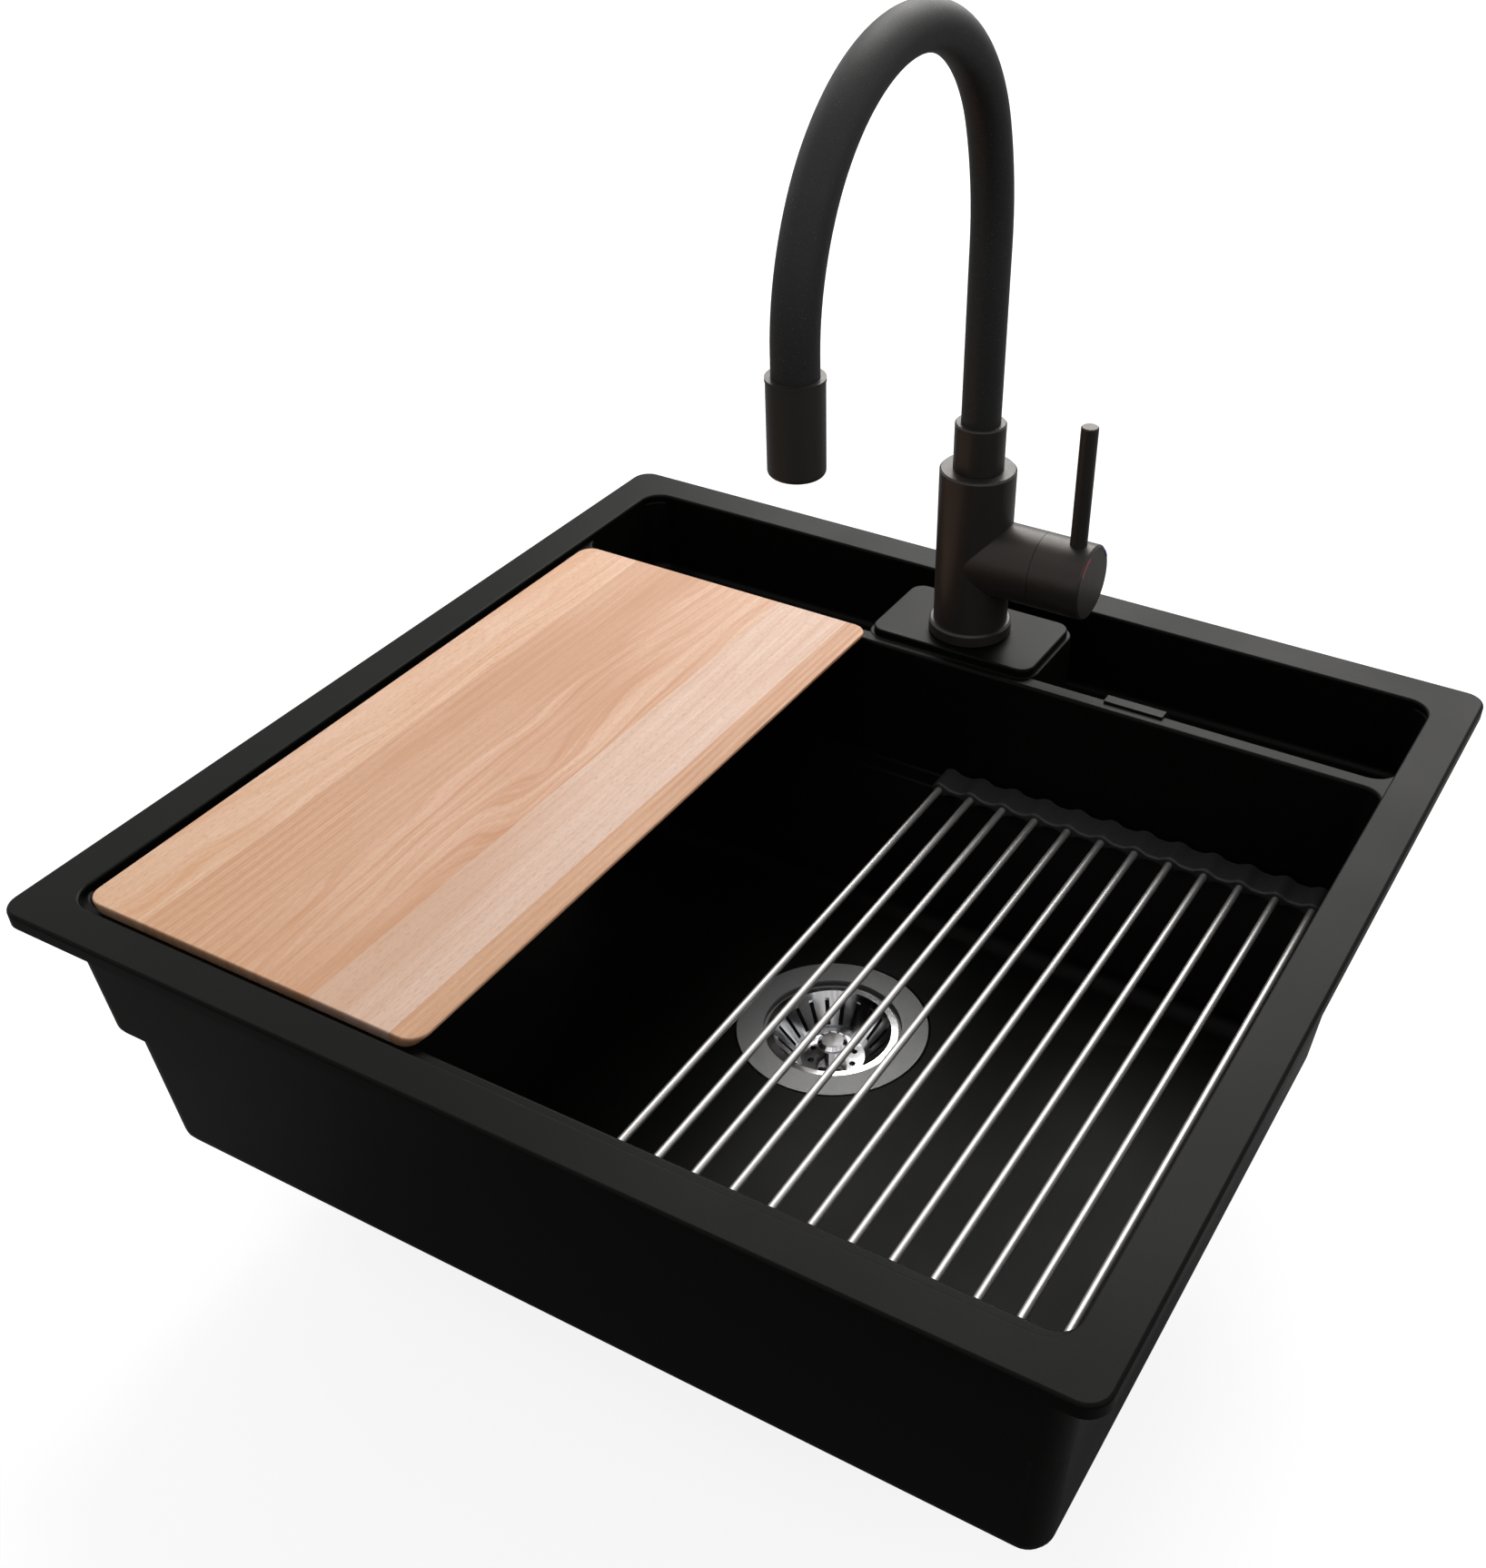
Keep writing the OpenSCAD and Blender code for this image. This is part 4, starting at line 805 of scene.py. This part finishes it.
fillet = [(drawn_in(foot_plan, -FILLET), foot_r + FILLET, TRAY_FLOOR - FILLET)]
fillet += [fillet_level(turn) for turn in quarter(FILLET_STEPS)]
platform_foot = fillet + head_round(foot_plan, foot_r, PLATFORM_HEAD, HEAD_EDGE, HEAD_STEPS)
combine(bowl, stack(platform_foot), "UNION")
combine(bowl, stack([(PLATFORM, PLATFORM_R, 3.0)] + head_round(PLATFORM, PLATFORM_R, DECK, 1.2)), "UNION")
nut_room = drawn_in(PLATFORM, SKIRT)
combine(bowl, stack([(nut_room, PLATFORM_R - SKIRT, height) for height in (-53.0, 0.0)]))


def round_hole(x, y, radius, low, high):
    """Cuts a straight round hole in the bowl."""
    bm = bmesh.new()
    bmesh.ops.create_cone(bm, cap_ends=True, segments=64, radius1=radius, radius2=radius, depth=high - low)
    bmesh.ops.translate(bm, verts=bm.verts, vec=(x, y, (low + high) / 2))
    combine(bowl, bm)


overflow_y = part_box("overflow_pipe")[0].y / MM + 10.4
round_hole(0, TAP_Y, SHANK_R, -5, 12)
round_hole(OVERFLOW_X, overflow_y, OVERFLOW_R, -60, -40)
finish_piece(bowl, "sink", "composite", "sink_body")

# %% [markdown]
# ## The board
# The real board is planed, its underside is cut back so that it drops between the ledges, and its
# edges are sanded. Here it is one stack: the core that sits down in the bowl, thin lips that lie
# on the ledges, and softly broken top edges, which catch the light as the real ones do.

# %% Board
LIP_T, BOARD_R, BOARD_EDGE = 6.0, 10.0, 1.1
board_plan = [v / MM for v in (board_low.x, board_high.x, board_low.y, board_high.y)]
board_foot, board_top = board_low.z / MM, board_high.z / MM
lip_under = board_top - LIP_T
board_levels = [
    (drawn_in(board_plan, 13.9, 5.25), 2.0, board_foot),
    (drawn_in(board_plan, 13.4, 5.25), 2.4, board_foot + 0.5),
    (drawn_in(board_plan, 4.5, 5.25), 5.0, lip_under),
    (drawn_in(board_plan, 4.5, 0.4), 7.0, lip_under + 0.02),
    (drawn_in(board_plan, 4.0, 0.0), 8.0, lip_under + 0.5),
    (board_plan, BOARD_R, board_top - 1.5),
] + head_round(board_plan, BOARD_R, board_top, BOARD_EDGE)[1:]
board = to_object(stack(board_levels), "beech_board")
finish_piece(board, "board", "beech", "cutting_board", angle=40)

# %% [markdown]
# ## The bendable spout
# The spout's skin is one silicone tube over a bendable core. A curve with a bevel would make it
# too, but spinning a circle keeps its bends true arcs: the circle is extruded straight up and
# then spun round the centre of each bend in turn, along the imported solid's four bends.

# %% Spout skin
# Each bend: its radius in mm and its turn in degrees
BENDS = [(185, 20), (90, 65), (101, 65), (121, 30)]
DEGREES_A_STEP, FEWEST_STEPS = 2.5, 4
HOSE_R, HOSE_FOOT, HOSE_RISE = 11.35, 122.4, 237.3
HOSE_TUCK = 10
spout = bmesh.new()
ring = bmesh.ops.create_circle(spout, cap_ends=True, segments=48, radius=HOSE_R)["verts"]
bmesh.ops.translate(spout, verts=ring, vec=(0, TAP_Y, HOSE_FOOT))
face = first_face(bmesh.ops.extrude_face_region(spout, geom=spout.faces[:])["geom"])
bmesh.ops.translate(spout, verts=face.verts, vec=(0, 0, HOSE_RISE - HOSE_FOOT))
heading = Vector((0, 0, 1))
for radius, turn in BENDS:
    inward = Vector((0, -heading.z, heading.y))
    centre = face.calc_center_median() + inward * radius
    steps = max(FEWEST_STEPS, round(turn / DEGREES_A_STEP))
    spun = bmesh.ops.spin(spout, geom=[face], cent=centre, axis=(1, 0, 0), dvec=(0, 0, 0),
                          angle=math.radians(turn), steps=steps, use_merge=False,
                          use_normal_flip=False, use_duplicate=False)
    face = first_face(spun["geom_last"])
    heading = Matrix.Rotation(math.radians(turn), 3, "X") @ heading
hose_end = face.calc_center_median()
face = first_face(bmesh.ops.extrude_face_region(spout, geom=[face])["geom"])
hose_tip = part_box("head_collar")[0].z / MM - HOSE_TUCK
bmesh.ops.translate(spout, verts=face.verts, vec=(0, 0, hose_tip - hose_end.z))
print("spout bends end at", [round(c, 1) for c in hose_end])
spout_skin = to_object(spout, "spout_skin")
finish_piece(spout_skin, "spout", "silicone", "spout_cover", weighted=False)

# %% [markdown]
# ## The rack's end strips
# Each strip is a soft silicone band with a swelling round every rod. Twelve tubes joined by a flat
# web would show creases between them, which the moulded strip hasn't. So its outline is worked
# out along X, a thin web that swells smoothly to a holder's radius at each rod. The outline is
# carried along Y, and its first and last sections are drawn thinner, so the long edges are round.

# %% Rack strips
HOLDER_R, WEB, SWELL_W = 5.0, 2.1, 8.5
ROD_COUNT, ROD_PITCH = 12, 21.35
PLACES_PER_ROD = 12
END_STEPS = 8
# The sections at each long edge: how far in along Y, and how much thinner
EDGE_SECTIONS = [(0.0, 1.6), (0.5, 0.7), (1.5, 0.0)]


def strip_outline(first_rod, swell_less):
    """The half thickness of the strip at places along X, made thinner by a given amount."""
    place_count = (ROD_COUNT - 1) * PLACES_PER_ROD + 1
    places = [first_rod + ROD_PITCH * k / PLACES_PER_ROD for k in range(place_count)]
    halves = []
    for place in places:
        nearest = abs((place - first_rod + ROD_PITCH / 2) % ROD_PITCH - ROD_PITCH / 2)
        swell = 0.5 + 0.5 * math.cos(math.pi * min(1.0, nearest / SWELL_W))
        halves.append(WEB + (HOLDER_R - WEB) * swell - swell_less)
    return places, halves


def strip_loop(first_rod, middle_z, y, less):
    """One closed section of the strip: along the top, round the right end, back, round the left end."""
    places, halves = strip_outline(first_rod, less)
    turns = [math.pi * k / END_STEPS for k in range(1, END_STEPS)]
    end_r = HOLDER_R - less
    loop = [(x, y, middle_z + half) for x, half in zip(places, halves)]
    loop += [(places[-1] + end_r * math.sin(t), y, middle_z + end_r * math.cos(t)) for t in turns]
    loop += [(x, y, middle_z - half) for x, half in reversed(list(zip(places, halves)))]
    loop += [(places[0] - end_r * math.sin(t), y, middle_z - end_r * math.cos(t)) for t in turns]
    return loop


def loft(loops):
    """A closed block through loops that all have the same number of points."""
    bm = bmesh.new()
    face = bm.faces.new([bm.verts.new(point) for point in loops[0]])
    order = list(face.verts)
    for loop in loops[1:]:
        edges = [bm.edges.get((a, b)) for a, b in zip(order, order[1:] + order[:1])]
        ring = bmesh.ops.extrude_edge_only(bm, edges=edges)["geom"]
        fresh = [part for part in ring if isinstance(part, bmesh.types.BMVert)]
        above = {}
        for vert in order:
            above[vert] = [e.other_vert(vert) for e in vert.link_edges if e.other_vert(vert) in fresh][0]
        order = [above[vert] for vert in order]
        for vert, point in zip(order, loop):
            vert.co = point
    close(bm)
    return bm


def rack_strip(node, name):
    """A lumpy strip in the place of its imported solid."""
    low, high = [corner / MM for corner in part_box(node)]
    middle_z = (low.z + high.z) / 2
    first_rod = low.x + HOLDER_R
    sections = [(low.y + y, less) for y, less in EDGE_SECTIONS]
    sections += [(high.y - y, less) for y, less in reversed(EDGE_SECTIONS)]
    strip = to_object(loft([strip_loop(first_rod, middle_z, y, less) for y, less in sections]), name)
    finish_piece(strip, "rack", "rack_silicone", node, angle=50)


rack_strip("rack_rear_strip", "rear_silicone_strip")
rack_strip("rack_front_strip", "front_silicone_strip")
